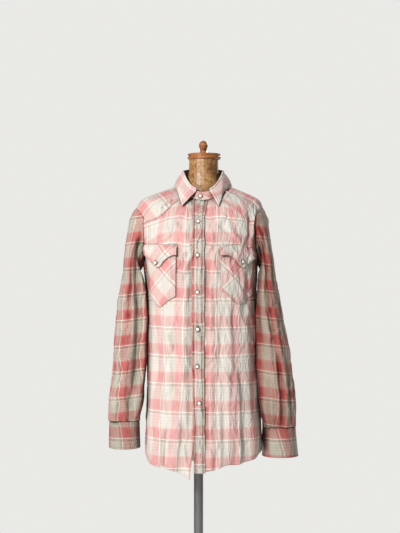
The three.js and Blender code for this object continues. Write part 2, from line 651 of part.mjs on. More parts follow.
// The armhole's edge as one closed loop from the shoulder, by the front, to the underarm and back
function armholeLoop(side) {
  const loop = [];
  const take = (curve, steps) => {
    for (let i = 0; i < steps; i += 1) {
      loop.push(curve(i / steps));
    }
  };
  take(backwards(through(onSide(armholeFront.upper, side))), YOKE_ROWS);
  take(backwards(through(onSide(armholeFront.lower, side))), ARMHOLE_ROWS);
  take(through(onSide(armholeBack.lower, side)), ARMHOLE_ROWS);
  take(through(onSide(armholeBack.upper, side)), BACK_YOKE_ROWS);
  return loop;
}

function sleeve(name, side, table) {
  const places = armholeLoop(side);
  const armhole = places.map(([angle, v]) => bodyPoint(angle, v));
  const armholeNormals = places.map(([angle, v]) => bodyNormal(angle, v));
  const middle = new THREE.Vector3();
  armhole.forEach((point) => middle.addScaledVector(point, 1 / armhole.length));
  const turns = armhole.map((point) => Math.atan2(-(point.y - middle.y), point.z - middle.z));
  const grid = [armhole.map((point) => point.clone())];
  for (const row of table) {
    const centre = new THREE.Vector3((row.xo + row.xi) / 2, row.yc, (row.zo + row.zi) / 2);
    const half = new THREE.Vector3((row.xo - row.xi) / 2, 0, (row.zo - row.zi) / 2);
    grid.push(turns.map((turn, i) => {
      const c = Math.cos(turn);
      const s = Math.sin(turn);
      const round = (Math.abs(c) ** 2.3 + Math.abs(s) ** 2.3) ** (-1 / 2.3);
      const point = centre.clone().addScaledVector(half, c * round);
      point.y -= row.deep * s * round;
      const loose = armhole[i].clone().sub(middle).add(centre);
      point.lerp(loose, row.arm);
      const degrees = THREE.MathUtils.radToDeg(turn);
      for (const rumple of sleeveRumples) {
        const apart = ((((degrees - rumple.at + 180) % 360) + 360) % 360) - 180;
        const near = Math.exp(-((apart / 38) ** 2) - ((row.t - rumple.t) / 0.8) ** 2);
        const away = point.clone().sub(centre).normalize();
        point.addScaledVector(away, row.t < 13 ? rumple.out * near : 0);
      }
      const overPockets = 4.4 * ease(1085, 1125, point.z) * ease(-12, -32, point.y);
      const limit = bodySide(point.y, Math.min(point.z, 1290), side) + side * (3.4 + overPockets);
      if (point.z < 1290 && side * (point.x - limit) < 0) {
        point.x = limit;
      }
      return point;
    }));
  }
  const normals = gridNormals(grid, true);
  const outward = grid[6][2].clone().sub(new THREE.Vector3(grid[6][9].x, 0, grid[6][2].z));
  const facing = Math.sign(normals[6][2].dot(outward));
  normals.forEach((row) => row.forEach((normal) => normal.multiplyScalar(facing)));
  normals[0].forEach((normal, i) => {
    normal.lerp(armholeNormals[i], ease(-0.1, 0.5, normal.dot(armholeNormals[i]))).normalize();
  });
  const inner = offsetGrid(grid, normals, -CLOTH);
  [grid, inner].forEach((rows) => {
    rows[0].forEach((point, i) => {
      const way = grid[1][i].clone().sub(armhole[i]).normalize();
      point.addScaledVector(way, SEAM / 2);
    });
  });
  add(name, thinSolid(grid, inner, true), colours.cloth);
  sleevePlacket(name.replace('sleeve', 'sleeve_placket'), grid, normals);
}

// Strip over the sleeve's slit, at the back of its outer side, made from the sleeve's own points
function sleevePlacket(name, grid, normals) {
  const part = (rows) => rows.slice(9, 13).map((row) => row.slice(17, 19));
  const under = offsetGrid(part(grid), part(normals), LIFT);
  add(name, thinSolid(offsetGrid(part(grid), part(normals), LIFT + PATCH), under), colours.cloth);
}
sleeve('sleeve_right', -1, sleeveRight);
sleeve('sleeve_left', 1, sleeveLeft);

// Cuffs: a strip round each wrist that laps at the back of its outer side
function cuff(name, rings, from) {
  const ringOf = (w) => ringAt(rings, 'w', w);
  const underEnd = (turned) => (DOUBLE + 0.5) * ease(56, 30, turned);
  stripRound(name, ringOf, from, 386, 22, 2, colours.cloth, underEnd);
  [0.28, 0.72].forEach((w, i) => {
    const last = from - 380;
    const place = ringPoint(ringOf(w), last);
    const ahead = ringPoint(ringOf(w), last + 2).sub(ringPoint(ringOf(w), last - 2));
    const normal = ahead.cross(new THREE.Vector3(0, 0, 1)).normalize();
    addSnap(name.replace('cuff', 'snap_cuff') + `_${i + 1}`, place.addScaledVector(normal, 0.5), normal);
  });
}
const cuffRingsRight = [
  { w: 0, xl: -222.4, xr: -144, yf: -51, yb: 27, front: 764, side: 765, back: 764, n: 2.1 },
  { w: 0.5, xl: -222, xr: -145, yf: -50, yb: 26, front: 797, side: 798, back: 797, n: 2.1 },
  { w: 1, xl: -221.5, xr: -146, yf: -48, yb: 24, front: 831.7, side: 831.7, back: 831.7, n: 2.1 },
];
const cuffRingsLeft = [
  { w: 0, xl: 158, xr: 248, yf: -56, yb: 30, front: 744, side: 744, back: 744, n: 2.1 },
  { w: 0.5, xl: 158, xr: 244.5, yf: -53, yb: 28, front: 780, side: 780, back: 780, n: 2.1 },
  { w: 1, xl: 158.6, xr: 241, yf: -50, yb: 25, front: 816.7, side: 816.7, back: 816.7, n: 2.1 },
];
cuff('cuff_right', cuffRingsRight, -140);
cuff('cuff_left', cuffRingsLeft, 140);

// Dress form: torso and neck in one smooth body, inside the shirt
const formInset = [
  { v: 812, front: 30, side: 30, back: 34 },
  { v: 880, front: 20, side: 22, back: 24 },
  { v: 960, front: 24, side: 28, back: 24 },
  { v: 1050, front: 30, side: 36, back: 27 },
  { v: 1130, front: 20, side: 30, back: 20 },
  { v: 1210, front: 11, side: 28, back: 13 },
  { v: 1280, front: 8.5, side: 29, back: 9 },
  { v: 1330, front: 8, side: 29, back: 8 },
  { v: 1358, front: 7.5, side: 17, back: 7 },
  { v: 1376, front: 7, side: 5.6, back: 8 },
  { v: 1390, front: 6.6, side: 2.5, back: 7.5 },
  { v: 1401, front: 6.6, side: 2.5, back: 7 },
  { v: 1409, front: 7.5, side: 3.8, back: 7 },
];
const neckRings = [
  { xl: -38, xr: 58, yf: -47, yb: 46, front: 1392, side: 1419, back: 1428, n: 2 },
  { xl: -28, xr: 53, yf: -41, yb: 40, front: 1412, side: 1430, back: 1436, n: 2 },
  { xl: -23.6, xr: 49.6, yf: -38, yb: 37, front: 1444, side: 1446, back: 1448, n: 2 },
  { xl: -23, xr: 49, yf: -37, yb: 36, front: NECK_TOP, side: NECK_TOP, back: NECK_TOP, n: 2 },
];
const FORM_COLUMNS = 28;

function torso() {
  const rings = formInset.map((row) => {
    const ring = [];
    for (let i = 0; i < FORM_COLUMNS; i += 1) {
      const angle = (360 * i) / FORM_COLUMNS;
      const s = Math.sin(THREE.MathUtils.degToRad(angle));
      const front = Math.abs(angle - 180) > 90;
      const inset = front ? mix(row.front, row.side, s ** 2) : mix(row.back, row.side, s ** 6);
      const normal = bodyNormal(angle, row.v, false);
      ring.push(bodyPoint(angle, row.v, false).addScaledVector(normal, -inset));
    }
    return ring;
  });
  for (const neck of neckRings) {
    rings.push(rings[0].map((point, i) => ringPoint(neck, (360 * i) / FORM_COLUMNS)));
  }
  rings[0].forEach((point) => point.setZ(TORSO_BOTTOM));
  const points = rings.flat();
  const index = [];
  const last = rings.length - 1;
  const at = (r, c) => r * FORM_COLUMNS + (c % FORM_COLUMNS);
  const bottom = points.push(new THREE.Vector3(10, 0, TORSO_BOTTOM)) - 1;
  const top = points.push(new THREE.Vector3(NECK_X, 0, NECK_TOP)) - 1;
  for (let c = 0; c < FORM_COLUMNS; c += 1) {
    index.push(bottom, at(0, c + 1), at(0, c));
    index.push(top, at(last, c), at(last, c + 1));
    for (let r = 0; r < last; r += 1) {
      index.push(at(r, c), at(r, c + 1), at(r + 1, c + 1), at(r, c), at(r + 1, c + 1), at(r + 1, c));
    }
  }
  return indexedSolid(points, index);
}
add('form_torso', torso(), colours.torso, 0.6);

// Turned parts of the form, as radius and height
function turned(name, profile, segments, x, z, colour, roughness, metalness = 0) {
  const points = profile.map(([radius, height]) => new THREE.Vector2(radius, height));
  const geometry = new THREE.LatheGeometry(points, segments).rotateX(Math.PI / 2).translate(x, 0, z);
  add(name, geometry, colour, roughness, metalness);
}
const capProfile = [
  [0, 0], [38, 0], [41, 2.5], [41, 6], [38.5, 8.5], [38.5, 10], [41, 12], [41, 13.5], [36, 15], [0, 15],
];
turned('form_cap', capProfile, 32, NECK_X + 1, NECK_TOP + SEAM, colours.wood, 0.4);
const knobProfile = [
  [0, 0], [9, 0], [10.5, 1.5], [8.5, 4.5], [7.5, 8], [9, 12.5], [10.8, 17.5], [11, 21],
  [9.8, 25.5], [6.5, 29.5], [2.5, 31.6], [0, 32],
];
turned('form_knob', knobProfile, 20, NECK_X - 1, NECK_TOP + 15 + 2 * SEAM, colours.wood, 0.4);
const plateProfile = [[0, 0], [24, 0], [24, 16], [52, 20], [52, 28], [0, 28]];
turned('form_plate', plateProfile, 24, 2, TORSO_BOTTOM - 28 - SEAM, colours.wood, 0.5);
const POLE_TOP = TORSO_BOTTOM - 28 - 2 * SEAM;
const BASE_TOP = 34;
const POLE_LENGTH = POLE_TOP - BASE_TOP - SEAM;
const poleProfile = [[0, 0], [POLE_RADIUS, 0], [POLE_RADIUS, POLE_LENGTH], [0, POLE_LENGTH]];
turned('form_pole', poleProfile, 24, 0, BASE_TOP + SEAM, colours.steel, 0.35, 0.9);
const baseProfile = [
  [0, 0], [BASE_RADIUS, 0], [BASE_RADIUS, 9], [BASE_RADIUS - 8, 15], [60, 20], [24, 24], [20, BASE_TOP], [0, BASE_TOP],
];
turned('form_base', baseProfile, 40, 0, 0, colours.iron, 0.5, 0.6);

export default shirt;
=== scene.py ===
import math

import bpy
import numpy as np
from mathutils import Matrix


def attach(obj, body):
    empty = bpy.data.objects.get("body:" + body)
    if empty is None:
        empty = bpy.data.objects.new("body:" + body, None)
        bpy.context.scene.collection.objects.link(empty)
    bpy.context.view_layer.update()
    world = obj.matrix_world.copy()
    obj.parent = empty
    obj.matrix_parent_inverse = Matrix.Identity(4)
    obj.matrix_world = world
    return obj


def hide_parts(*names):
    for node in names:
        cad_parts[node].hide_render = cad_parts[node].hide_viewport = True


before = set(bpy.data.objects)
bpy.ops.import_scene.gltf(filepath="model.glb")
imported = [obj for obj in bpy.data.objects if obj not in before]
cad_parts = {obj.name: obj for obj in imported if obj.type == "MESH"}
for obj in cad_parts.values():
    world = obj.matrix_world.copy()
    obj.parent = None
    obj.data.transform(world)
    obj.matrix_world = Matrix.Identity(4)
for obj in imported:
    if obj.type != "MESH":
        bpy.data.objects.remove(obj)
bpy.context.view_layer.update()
root = "root"


# Base of the dress form
# A heavy round cast-iron foot, painted satin black, with a boss that holds the pole.
# The photo's edge hides it, so it is plain.
def new_material(name, colour, roughness, metallic=0.0):
    material = bpy.data.materials.new(name)
    material.use_nodes = True
    nodes = material.node_tree.nodes
    shader = nodes["Principled BSDF"]
    shader.inputs["Base Color"].default_value = (*colour, 1)
    shader.inputs["Roughness"].default_value = roughness
    shader.inputs["Metallic"].default_value = metallic
    return material, nodes, material.node_tree.links, shader


def noise_ramp(nodes, links, scale, stops, detail=4.0, stretch=None):
    place = nodes.new("ShaderNodeTexCoord")
    noise = nodes.new("ShaderNodeTexNoise")
    noise.inputs["Scale"].default_value = scale
    noise.inputs["Detail"].default_value = detail
    source = place.outputs["Object"]
    if stretch:
        mapping = nodes.new("ShaderNodeMapping")
        mapping.inputs["Scale"].default_value = stretch
        links.new(source, mapping.inputs["Vector"])
        source = mapping.outputs["Vector"]
    links.new(source, noise.inputs["Vector"])
    ramp = nodes.new("ShaderNodeValToRGB")
    while len(ramp.color_ramp.elements) < len(stops):
        ramp.color_ramp.elements.new(0.5)
    for element, (at, colour) in zip(ramp.color_ramp.elements, stops):
        element.position = at
        element.color = (*colour, 1)
    links.new(noise.outputs["Fac"], ramp.inputs["Fac"])
    return ramp, noise


def add_bump(nodes, links, shader, source, strength, distance):
    bump = nodes.new("ShaderNodeBump")
    bump.inputs["Strength"].default_value = strength
    bump.inputs["Distance"].default_value = distance
    links.new(source, bump.inputs["Height"])
    links.new(bump.outputs["Normal"], shader.inputs["Normal"])
    return bump


def dress_node(name, material, angle=40):
    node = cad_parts[name]
    node.data.materials.clear()
    node.data.materials.append(material)
    node.data.polygons.foreach_set("use_smooth", [True] * len(node.data.polygons))
    node.data.set_sharp_from_angle(angle=math.radians(angle))
    return node


iron, nodes, links, shader = new_material("cast iron", (0.03, 0.03, 0.032), 0.5, 0.5)
ramp, noise = noise_ramp(nodes, links, 60, [(0.35, (0.022, 0.022, 0.024)), (0.7, (0.045, 0.044, 0.043))])
links.new(ramp.outputs["Color"], shader.inputs["Base Color"])
add_bump(nodes, links, shader, noise.outputs["Fac"], 0.25, 0.0006)
dress_node("form_base", iron)


# Pole
# A plain grey steel tube, a push fit in the base and in the plate under the torso.
steel, nodes, links, shader = new_material("grey steel", (0.2, 0.21, 0.215), 0.34, 0.85)
ramp, noise = noise_ramp(
    nodes, links, 30, [(0.3, (0.17, 0.175, 0.18)), (0.75, (0.27, 0.275, 0.28))], stretch=(40, 40, 1)
)
links.new(ramp.outputs["Color"], shader.inputs["Base Color"])
add_bump(nodes, links, shader, noise.outputs["Fac"], 0.08, 0.0002)
dress_node("form_pole", steel)


# Plate under the torso, cap and knob
# Turned hardwood, stained orange-brown and varnished. The plate is screwed to the torso,
# the cap closes the neck and the knob is doweled into the cap.
wood, nodes, links, shader = new_material("varnished wood", (0.3, 0.11, 0.035), 0.3)
shader.inputs["Coat Weight"].default_value = 0.4
shader.inputs["Coat Roughness"].default_value = 0.2
ramp, noise = noise_ramp(
    nodes,
    links,
    22,
    [(0.3, (0.13, 0.04, 0.014)), (0.52, (0.34, 0.12, 0.038)), (0.75, (0.47, 0.19, 0.06))],
    stretch=(1, 1, 9),
)
links.new(ramp.outputs["Color"], shader.inputs["Base Color"])
add_bump(nodes, links, shader, noise.outputs["Fac"], 0.1, 0.0004)
for name in ("form_plate", "form_cap", "form_knob"):
    dress_node(name, wood, 50)


# Torso and neck of the dress form
# A moulded paper shell in one piece, covered with varnished golden brown paper that has
# mottled, with fine dark veins where the varnish has cracked.
cover, nodes, links, shader = new_material("varnished paper", (0.32, 0.17, 0.06), 0.48)
shader.inputs["Coat Weight"].default_value = 0.15
shader.inputs["Coat Roughness"].default_value = 0.3
ramp, noise = noise_ramp(
    nodes,
    links,
    16,
    [(0.3, (0.15, 0.06, 0.018)), (0.5, (0.35, 0.18, 0.065)), (0.72, (0.54, 0.34, 0.15))],
    detail=7,
)
place = nodes.new("ShaderNodeTexCoord")
warp = nodes.new("ShaderNodeTexNoise")
warp.inputs["Scale"].default_value = 45
shift = nodes.new("ShaderNodeMixRGB")
shift.inputs["Fac"].default_value = 0.05
veins = nodes.new("ShaderNodeTexVoronoi")
veins.feature = "DISTANCE_TO_EDGE"
veins.inputs["Scale"].default_value = 62
thin = nodes.new("ShaderNodeValToRGB")
thin.color_ramp.elements[0].position = 0.0
thin.color_ramp.elements[0].color = (0.18, 0.1, 0.05, 1)
thin.color_ramp.elements[1].position = 0.09
thin.color_ramp.elements[1].color = (1, 1, 1, 1)
multiply = nodes.new("ShaderNodeMixRGB")
multiply.blend_type = "MULTIPLY"
multiply.inputs["Fac"].default_value = 0.75
links.new(place.outputs["Object"], warp.inputs["Vector"])
links.new(place.outputs["Object"], shift.inputs["Color1"])
links.new(warp.outputs["Color"], shift.inputs["Color2"])
links.new(shift.outputs["Color"], veins.inputs["Vector"])
links.new(veins.outputs["Distance"], thin.inputs["Fac"])
links.new(ramp.outputs["Color"], multiply.inputs["Color1"])
links.new(thin.outputs["Color"], multiply.inputs["Color2"])
links.new(multiply.outputs["Color"], shader.inputs["Base Color"])
add_bump(nodes, links, shader, thin.outputs["Color"], 0.25, 0.0003)
torso = dress_node("form_torso", cover, 80)


# Back
# One piece of crinkled plaid cotton from side seam to side seam, hemmed in a shirt-tail curve
# and sewn to the yoke above. It hangs from the form's shoulders.
MM = 0.001
# Height, left and right edges, front and back, heights there, and how square the corners are
body_rings = np.array([
    (660, -133, 160, -119, 127, 660, 660, 660, 2.1),
    (760, -131, 158, -119, 124, 760, 760, 760, 2.1),
    (860, -128, 153, -118, 119, 860, 860, 860, 2.15),
    (960, -127, 147, -116, 113, 960, 960, 960, 2.2),
    (1060, -128, 144, -114, 109, 1060, 1060, 1060, 2.2),
    (1150, -131, 144, -114, 109, 1150, 1150, 1150, 2.25),
    (1215, -136, 147, -114, 111, 1215, 1215, 1215, 2.3),
    (1270, -143, 152, -111, 111, 1266, 1270, 1270, 2.35),
    (1315, -151, 157, -104, 106, 1300, 1315, 1317, 2.35),
    (1345, -156, 161, -95, 97, 1322, 1344, 1350, 2.3),
    (1362, -153, 159, -89, 89, 1336, 1361, 1368, 2.3),
    (1378, -138, 148, -83, 81, 1348, 1379, 1385, 2.3),
    (1392, -105, 118, -77, 74, 1358, 1393, 1401, 2.2),
    (1402, -76, 93, -71, 68, 1366, 1403, 1412, 2.1),
    (1410, -50, 70, -65, 62, 1372, 1412, 1422, 2.0),
    (1420, -22, 44, -58, 55, 1380, 1421, 1434, 2.0),
], dtype=float)
# Large folds: angle from the front, half width in degrees, height, fading in and out, drift
body_folds = (
    (18, 8, 5, 640, 960, -4), (36, 7, 7, 640, 1010, 5), (56, 8, 5, 640, 930, 8),
    (-40, 8, 6, 640, 900, 5), (-64, 8, 4, 640, 960, -4), (27, 7, -4, 640, 930, 0),
    (46, 6, -4, 640, 900, 6), (-52, 6, -4, 640, 880, 0), (118, 9, 5, 640, 1000, 6),
    (142, 9, -4, 640, 940, 4), (162, 9, 6, 640, 1060, 2), (184, 9, -4, 640, 960, -3),
    (206, 10, 6, 640, 1100, -6), (234, 9, 4, 640, 930, -5),
)


def smooth(rows, at):
    """Values of the table's other columns where its first column is at."""
    at = np.asarray(at, dtype=float)
    keys, values = rows[:, 0], rows[:, 1:]
    last = len(keys) - 1
    i = np.clip(np.searchsorted(keys, at, side="right") - 1, 0, last - 1)
    before, after = np.maximum(i - 1, 0), np.minimum(i + 2, last)
    width = keys[i + 1] - keys[i]
    t = np.clip((at - keys[i]) / width, 0, 1)[..., None]
    start = (values[i + 1] - values[before]) * (width / (keys[i + 1] - keys[before]))[..., None]
    end = (values[after] - values[i]) * (width / (keys[after] - keys[i]))[..., None]
    low = values[i] * (2 * t**3 - 3 * t**2 + 1) + start * (t**3 - 2 * t**2 + t)
    return low + values[i + 1] * (3 * t**2 - 2 * t**3) + end * (t**3 - t**2)


def ease(low, high, value):
    t = np.clip((value - low) / (high - low), 0, 1)
    return t * t * (3 - 2 * t)


def ring_point(ring, degrees, swell=0.0):
    left, right, fore, rear, fore_z, side_z, rear_z, square = np.moveaxis(ring, -1, 0)
    sine = np.sin(np.radians(degrees))
    cosine = np.cos(np.radians(degrees))
    half = (right - left) / 2
    depth = np.where(cosine > 0, -fore, rear)
    radius = (np.abs(sine / half) ** square + np.abs(cosine / depth) ** square) ** (-1 / square) + swell
    height = side_z * sine * sine + np.where(cosine > 0, fore_z, rear_z) * cosine * cosine
    return np.stack([(left + right) / 2 + radius * sine, -radius * cosine, height], -1)


def wrapped(degrees):
    return (degrees + 180) % 360 - 180


def fold_height(degrees, v):
    total = np.zeros(np.broadcast(degrees, v).shape)
    for at, wide, out, low, high, drift in body_folds:
        centre = at + drift * (v - low) / (high - low)
        along = ease(low - 1, low + 60, v) * ease(high, high - 150, v)
        total += out * along * np.exp(-((wrapped(degrees - centre) / wide) ** 2))
    return total


def body_point(degrees, v):
    return ring_point(smooth(body_rings, v), degrees, fold_height(degrees, v))


def unit(vectors):
    return vectors / np.maximum(np.linalg.norm(vectors, axis=-1, keepdims=True), 1e-9)


def body_normal(degrees, v):
    across = body_point(degrees + 1, v) - body_point(degrees - 1, v)
    return unit(np.cross(across, body_point(degrees, v + 2) - body_point(degrees, v - 2)))


def seen_at(x, z):
    """Angle and height along the body of the place seen at x and z from the front."""
    x, z = np.asarray(x, dtype=float), np.asarray(z, dtype=float)
    degrees, v = np.clip(x / 2.2, -80, 80), z.copy()
    for _ in range(60):
        here = body_point(degrees, v)
        step = body_point(degrees + 0.5, v)[..., 0] - here[..., 0]
        degrees = degrees + np.clip(0.4 * (x - here[..., 0]) / np.maximum(step, 0.2), -4, 4)
        v = v + 0.8 * (z - here[..., 2])
    return np.stack([degrees, v], -1)


def through(places):
    rows = np.array([(i / (len(places) - 1), *place) for i, place in enumerate(places)], dtype=float)
    return lambda t: smooth(rows, t)


def straight(start, end):
    start, end = np.array(start, dtype=float), np.array(end, dtype=float)
    return lambda t: start + (end - start) * np.asarray(t, dtype=float)[..., None]


def joined(first, second, share):
    def curve(t):
        t = np.asarray(t, dtype=float)
        return np.where((t < share)[..., None], first(np.minimum(t / share, 1)),
                        second(np.clip((t - share) / (1 - share), 0, 1)))
    return curve


def filled(bottom, top, start, end):
    """The area between four curves, read at s across and t up."""
    zero, one = np.zeros(1), np.ones(1)

    def area(s, t):
        s1, t1 = s[..., None], t[..., None]
        rising = bottom(s) * (1 - t1) + top(s) * t1
        across = start(t) * (1 - s1) + end(t) * s1
        low = bottom(zero)[0] * (1 - s1) + bottom(one)[0] * s1
        high = top(zero)[0] * (1 - s1) + top(one)[0] * s1
        return rising + across - (low * (1 - t1) + high * t1)
    return area


def crinkles(a, b, seed, count, box, wide, long, high, tilt=0.25):
    """Small washed-in creases, mostly running up the cloth. a and b are millimetres."""
    random = np.random.default_rng(seed)
    total = np.zeros(a.shape)
    (a0, a1), (b0, b1) = box
    for _ in range(count):
        ca, cb = random.uniform(a0, a1), random.uniform(b0, b1)
        width, length = random.uniform(*wide), random.uniform(*long)
        lean, height = random.normal(0, tilt), random.uniform(-1, 1) * high
        near = (np.abs(a - ca) < 60) & (np.abs(b - cb) < 2.2 * length)
        da, db = a[near] - ca, b[near] - cb
        side = (da - lean * db) / width
        total[near] += height * np.exp(-side**2 - (db / length) ** 2)
    return total


def creases(x, z, table):
    """Creases, each from x, z to x, z, with half width and height."""
    total = np.zeros(np.shape(x))
    for x0, z0, x1, z1, wide, high in table:
        way = np.array([x1 - x0, z1 - z0], dtype=float)
        length = np.hypot(*way)
        along = ((x - x0) * way[0] + (z - z0) * way[1]) / length**2
        away = ((x - x0) * way[1] - (z - z0) * way[0]) / length / wide
        bow = 0.6 * np.sin(math.pi * np.clip(along, 0, 1)) * np.sin(x0 + z0)
        ends = np.exp(-(np.maximum(np.abs(along - 0.5) - 0.32, 0) / 0.16) ** 2)
        total += high * np.exp(-(away + bow) ** 2) * ends
    return total


# Creases seen from the front, placed from the photo, and others on the back seen from behind
front_creases = (
    (84, 700, 88, 900, 8, -6.0), (96, 690, 82, 1120, 9, 3.2), (70, 720, 66, 960, 8, 4.2),
    (86, 900, 84, 1130, 8, -3.6), (54, 960, 60, 1110, 7, -2.8), (44, 780, 46, 960, 6, -2.4),
    (112, 770, 104, 960, 7, -3.0), (122, 800, 118, 1060, 7, 2.8), (132, 850, 128, 1050, 6, -2.2),
    (26, 700, 24, 860, 7, 2.0), (20, 880, -4, 872, 5, 2.0), (34, 700, 40, 780, 5, -2.6),
    (21, 760, 19, 1040, 5, -2.4), (21, 1000, 20, 1330, 5, -2.4), (31, 780, 30, 1180, 6, 1.8),
    (-84, 722, -80, 826, 5, -5.4), (-92, 722, -92, 810, 5, 3.6), (-74, 722, -72, 820, 5, 3.2),
    (-60, 712, -50, 880, 7, 2.6), (-46, 705, -40, 860, 6, -2.8), (-28, 730, -22, 1060, 7, -3.4),
    (-36, 860, -30, 1180, 8, 2.6), (-24, 1060, -20, 1240, 6, -2.8), (-58, 900, -62, 1080, 8, -2.2),
    (-112, 900, -104, 1090, 7, 2.4), (-98, 840, -96, 1020, 7, -2.4), (-76, 900, -78, 1080, 7, 2.0),
    (-44, 1178, -22, 1236, 5, 2.6), (-52, 1200, -24, 1252, 5, -2.2), (-36, 1300, -22, 1244, 5, 2.0),
    (-60, 1270, -24, 1238, 4, -1.8), (36, 1290, 22, 1246, 5, 2.2), (44, 1262, 24, 1236, 4, -1.8),
    (30, 1170, 24, 1110, 5, 2.2), (44, 1130, 22, 1150, 4, -1.8), (40, 1075, 20, 1062, 4, 2.2),
    (-40, 1080, -18, 1062, 4, 2.0), (-44, 990, -20, 972, 4, 2.0), (44, 990, 18, 972, 4, -2.0),
    (-34, 1302, -60, 1330, 6, -1.8), (40, 1304, 60, 1340, 6, 1.8), (50, 1318, 84, 1290, 6, -2.2),
    (-70, 1306, -104, 1286, 6, 2.0), (-56, 1290, -92, 1270, 5, -1.8), (70, 1306, 104, 1272, 6, 2.2),
    (134, 1336, 132, 1288, 4, 3.4), (142, 1336, 141, 1290, 4, -3.4), (126, 1332, 124, 1284, 4, -2.8),
    (149, 1330, 150, 1296, 4, 2.8), (-134, 1322, -130, 1280, 5, 2.4), (-124, 1316, -118, 1270, 5, -2.2),
    (-88, 1353, -81, 1365, 2.4, -2.6), (-80, 1361, -73, 1373, 2.4, -2.6), (-69, 1367, -62, 1379, 2.4, -2.6),
    (112, 1262, 128, 1230, 5, 2.2), (-118, 1180, -108, 1120, 7, 2.2), (128, 1170, 118, 1100, 7, -2.4),
)
back_creases = (
    (-70, 760, -60, 1000, 9, 3.6), (-40, 750, -46, 930, 8, -3.2), (0, 740, 8, 1040, 10, 3.4),
    (34, 750, 30, 960, 8, -3.0), (66, 760, 58, 1010, 9, 3.6), (96, 780, 88, 960, 8, 2.6),
    (-104, 780, -96, 940, 8, -2.8), (-90, 1080, -60, 1200, 9, 2.4), (84, 1060, 60, 1190, 9, -2.4),
    (-20, 1080, -14, 1240, 9, 2.2), (24, 1100, 30, 1250, 8, -2.2), (110, 1180, 96, 1290, 8, 2.4),
    (-112, 1170, -100, 1290, 8, -2.4), (-54, 900, -50, 1080, 8, 2.4), (50, 940, 46, 1120, 8, -2.4),
    (14, 860, 18, 1010, 7, -2.4), (-16, 850, -22, 1020, 7, 2.2), (-84, 900, -88, 1060, 7, -2.2),
)


def relief(degrees, v):
    """How far the worn cloth stands off its plain form."""
    here = ring_point(smooth(body_rings, v), degrees)
    front = ease(100, 80, np.abs(wrapped(degrees)))
    total = front * 1.4 * creases(here[..., 0], here[..., 2], front_creases)
    total = total + (1 - front) * creases(here[..., 0], here[..., 2], back_creases)
    along = wrapped(degrees) * 2.15
    total = total + crinkles(along, v, 11, 1700, ((-400, 400), (690, 1420)), (1.8, 3.6), (10, 34), 1.1)
    return total + crinkles(along, v, 12, 520, ((-400, 400), (690, 1420)), (4, 8), (30, 90), 2.6, 0.25)


def steps(width, length, step):
    across, up = max(int(round(width / step)), 2), max(int(round(length / step)), 2)
    return np.meshgrid(np.linspace(0, 1, across + 1), np.linspace(0, 1, up + 1))


def body_surface(area, off, own=None):
    """Outer face of a piece on the body: points and normals at s across and t up."""
    def surface(s, t):
        degrees, v = np.moveaxis(area(s, t), -1, 0)
        normal = body_normal(degrees, v)
        lift = off(s, t) if callable(off) else off
        height = relief(degrees, v) + lift
        if own is not None:
            height = height + own(s, t)
        return body_point(degrees, v) + normal * height[..., None], normal
    return surface


def cumulative(points, axis):
    gaps = np.linalg.norm(np.diff(points, axis=axis), axis=-1)
    start = np.zeros_like(np.take(gaps, [0], axis=axis))
    return np.concatenate([start, np.cumsum(gaps, axis=axis)], axis=axis)


def cloth(name, points, normals, uv, material, thick=1.2):
    """A sheet of cloth from a grid of its outer face, in millimetres, with its pattern in metres."""
    rows, columns = points.shape[:2]
    number = np.arange(rows * columns).reshape(rows, columns)
    a, b, c, d = number[:-1, :-1], number[:-1, 1:], number[1:, 1:], number[1:, :-1]
    faces = np.stack([a, b, c, d], -1).reshape(-1, 4)
    flat = points.reshape(-1, 3)
    middle = faces[len(faces) // 2 + columns // 3]
    facing = np.cross(flat[middle[1]] - flat[middle[0]], flat[middle[3]] - flat[middle[0]])
    if np.dot(facing, normals.reshape(-1, 3)[middle[0]]) < 0:
        faces = faces[:, ::-1]
    mesh = bpy.data.meshes.new(name)
    mesh.from_pydata((flat * MM).tolist(), [], faces.tolist())
    layer = mesh.uv_layers.new(name="UVMap")
    corners = np.empty(len(mesh.loops), dtype=np.int64)
    mesh.loops.foreach_get("vertex_index", corners)
    layer.data.foreach_set("uv", uv.reshape(-1, 2)[corners].astype(np.float32).ravel())
    mesh.polygons.foreach_set("use_smooth", [True] * len(mesh.polygons))
    mesh.materials.append(material)
    sheet = bpy.data.objects.new(name, mesh)
    bpy.context.scene.collection.objects.link(sheet)
    wall = sheet.modifiers.new("thickness", "SOLIDIFY")
    wall.thickness = thick * MM
    wall.offset = -1
    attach(sheet, root)
    return sheet


def stripes(nodes, links, source):
    """Colours of one set of the plaid's yarns along source, which is in repeats."""
    fraction = nodes.new("ShaderNodeMath")
    fraction.operation = "FRACT"
    links.new(source, fraction.inputs[0])
    ramp = nodes.new("ShaderNodeValToRGB")
    white = (0.85, 0.8, 0.75)
    red = (0.5, 0.145, 0.145)
    rose = (0.56, 0.215, 0.21)
    cream = (0.56, 0.545, 0.5)
    grey = (0.45, 0.43, 0.385)
    dark = (0.25, 0.17, 0.14)
    stops = [
        (0.0, white), (0.018, white), (0.03, rose), (0.1, red), (0.33, red), (0.4, rose), (0.46, cream),
        (0.5, grey), (0.54, cream), (0.6, grey), (0.64, cream), (0.7, grey), (0.76, cream), (0.8, grey),
        (0.85, cream), (0.905, cream), (0.915, dark), (0.938, dark), (0.945, cream), (0.955, cream),
        (0.962, dark), (0.984, dark), (0.99, white),
    ]
    while len(ramp.color_ramp.elements) < len(stops):
        ramp.color_ramp.elements.new(0.5)
    for element, (at, colour) in zip(ramp.color_ramp.elements, stops):
        element.position = at
        element.color = (*colour, 1)
    links.new(fraction.outputs[0], ramp.inputs["Fac"])
    return ramp


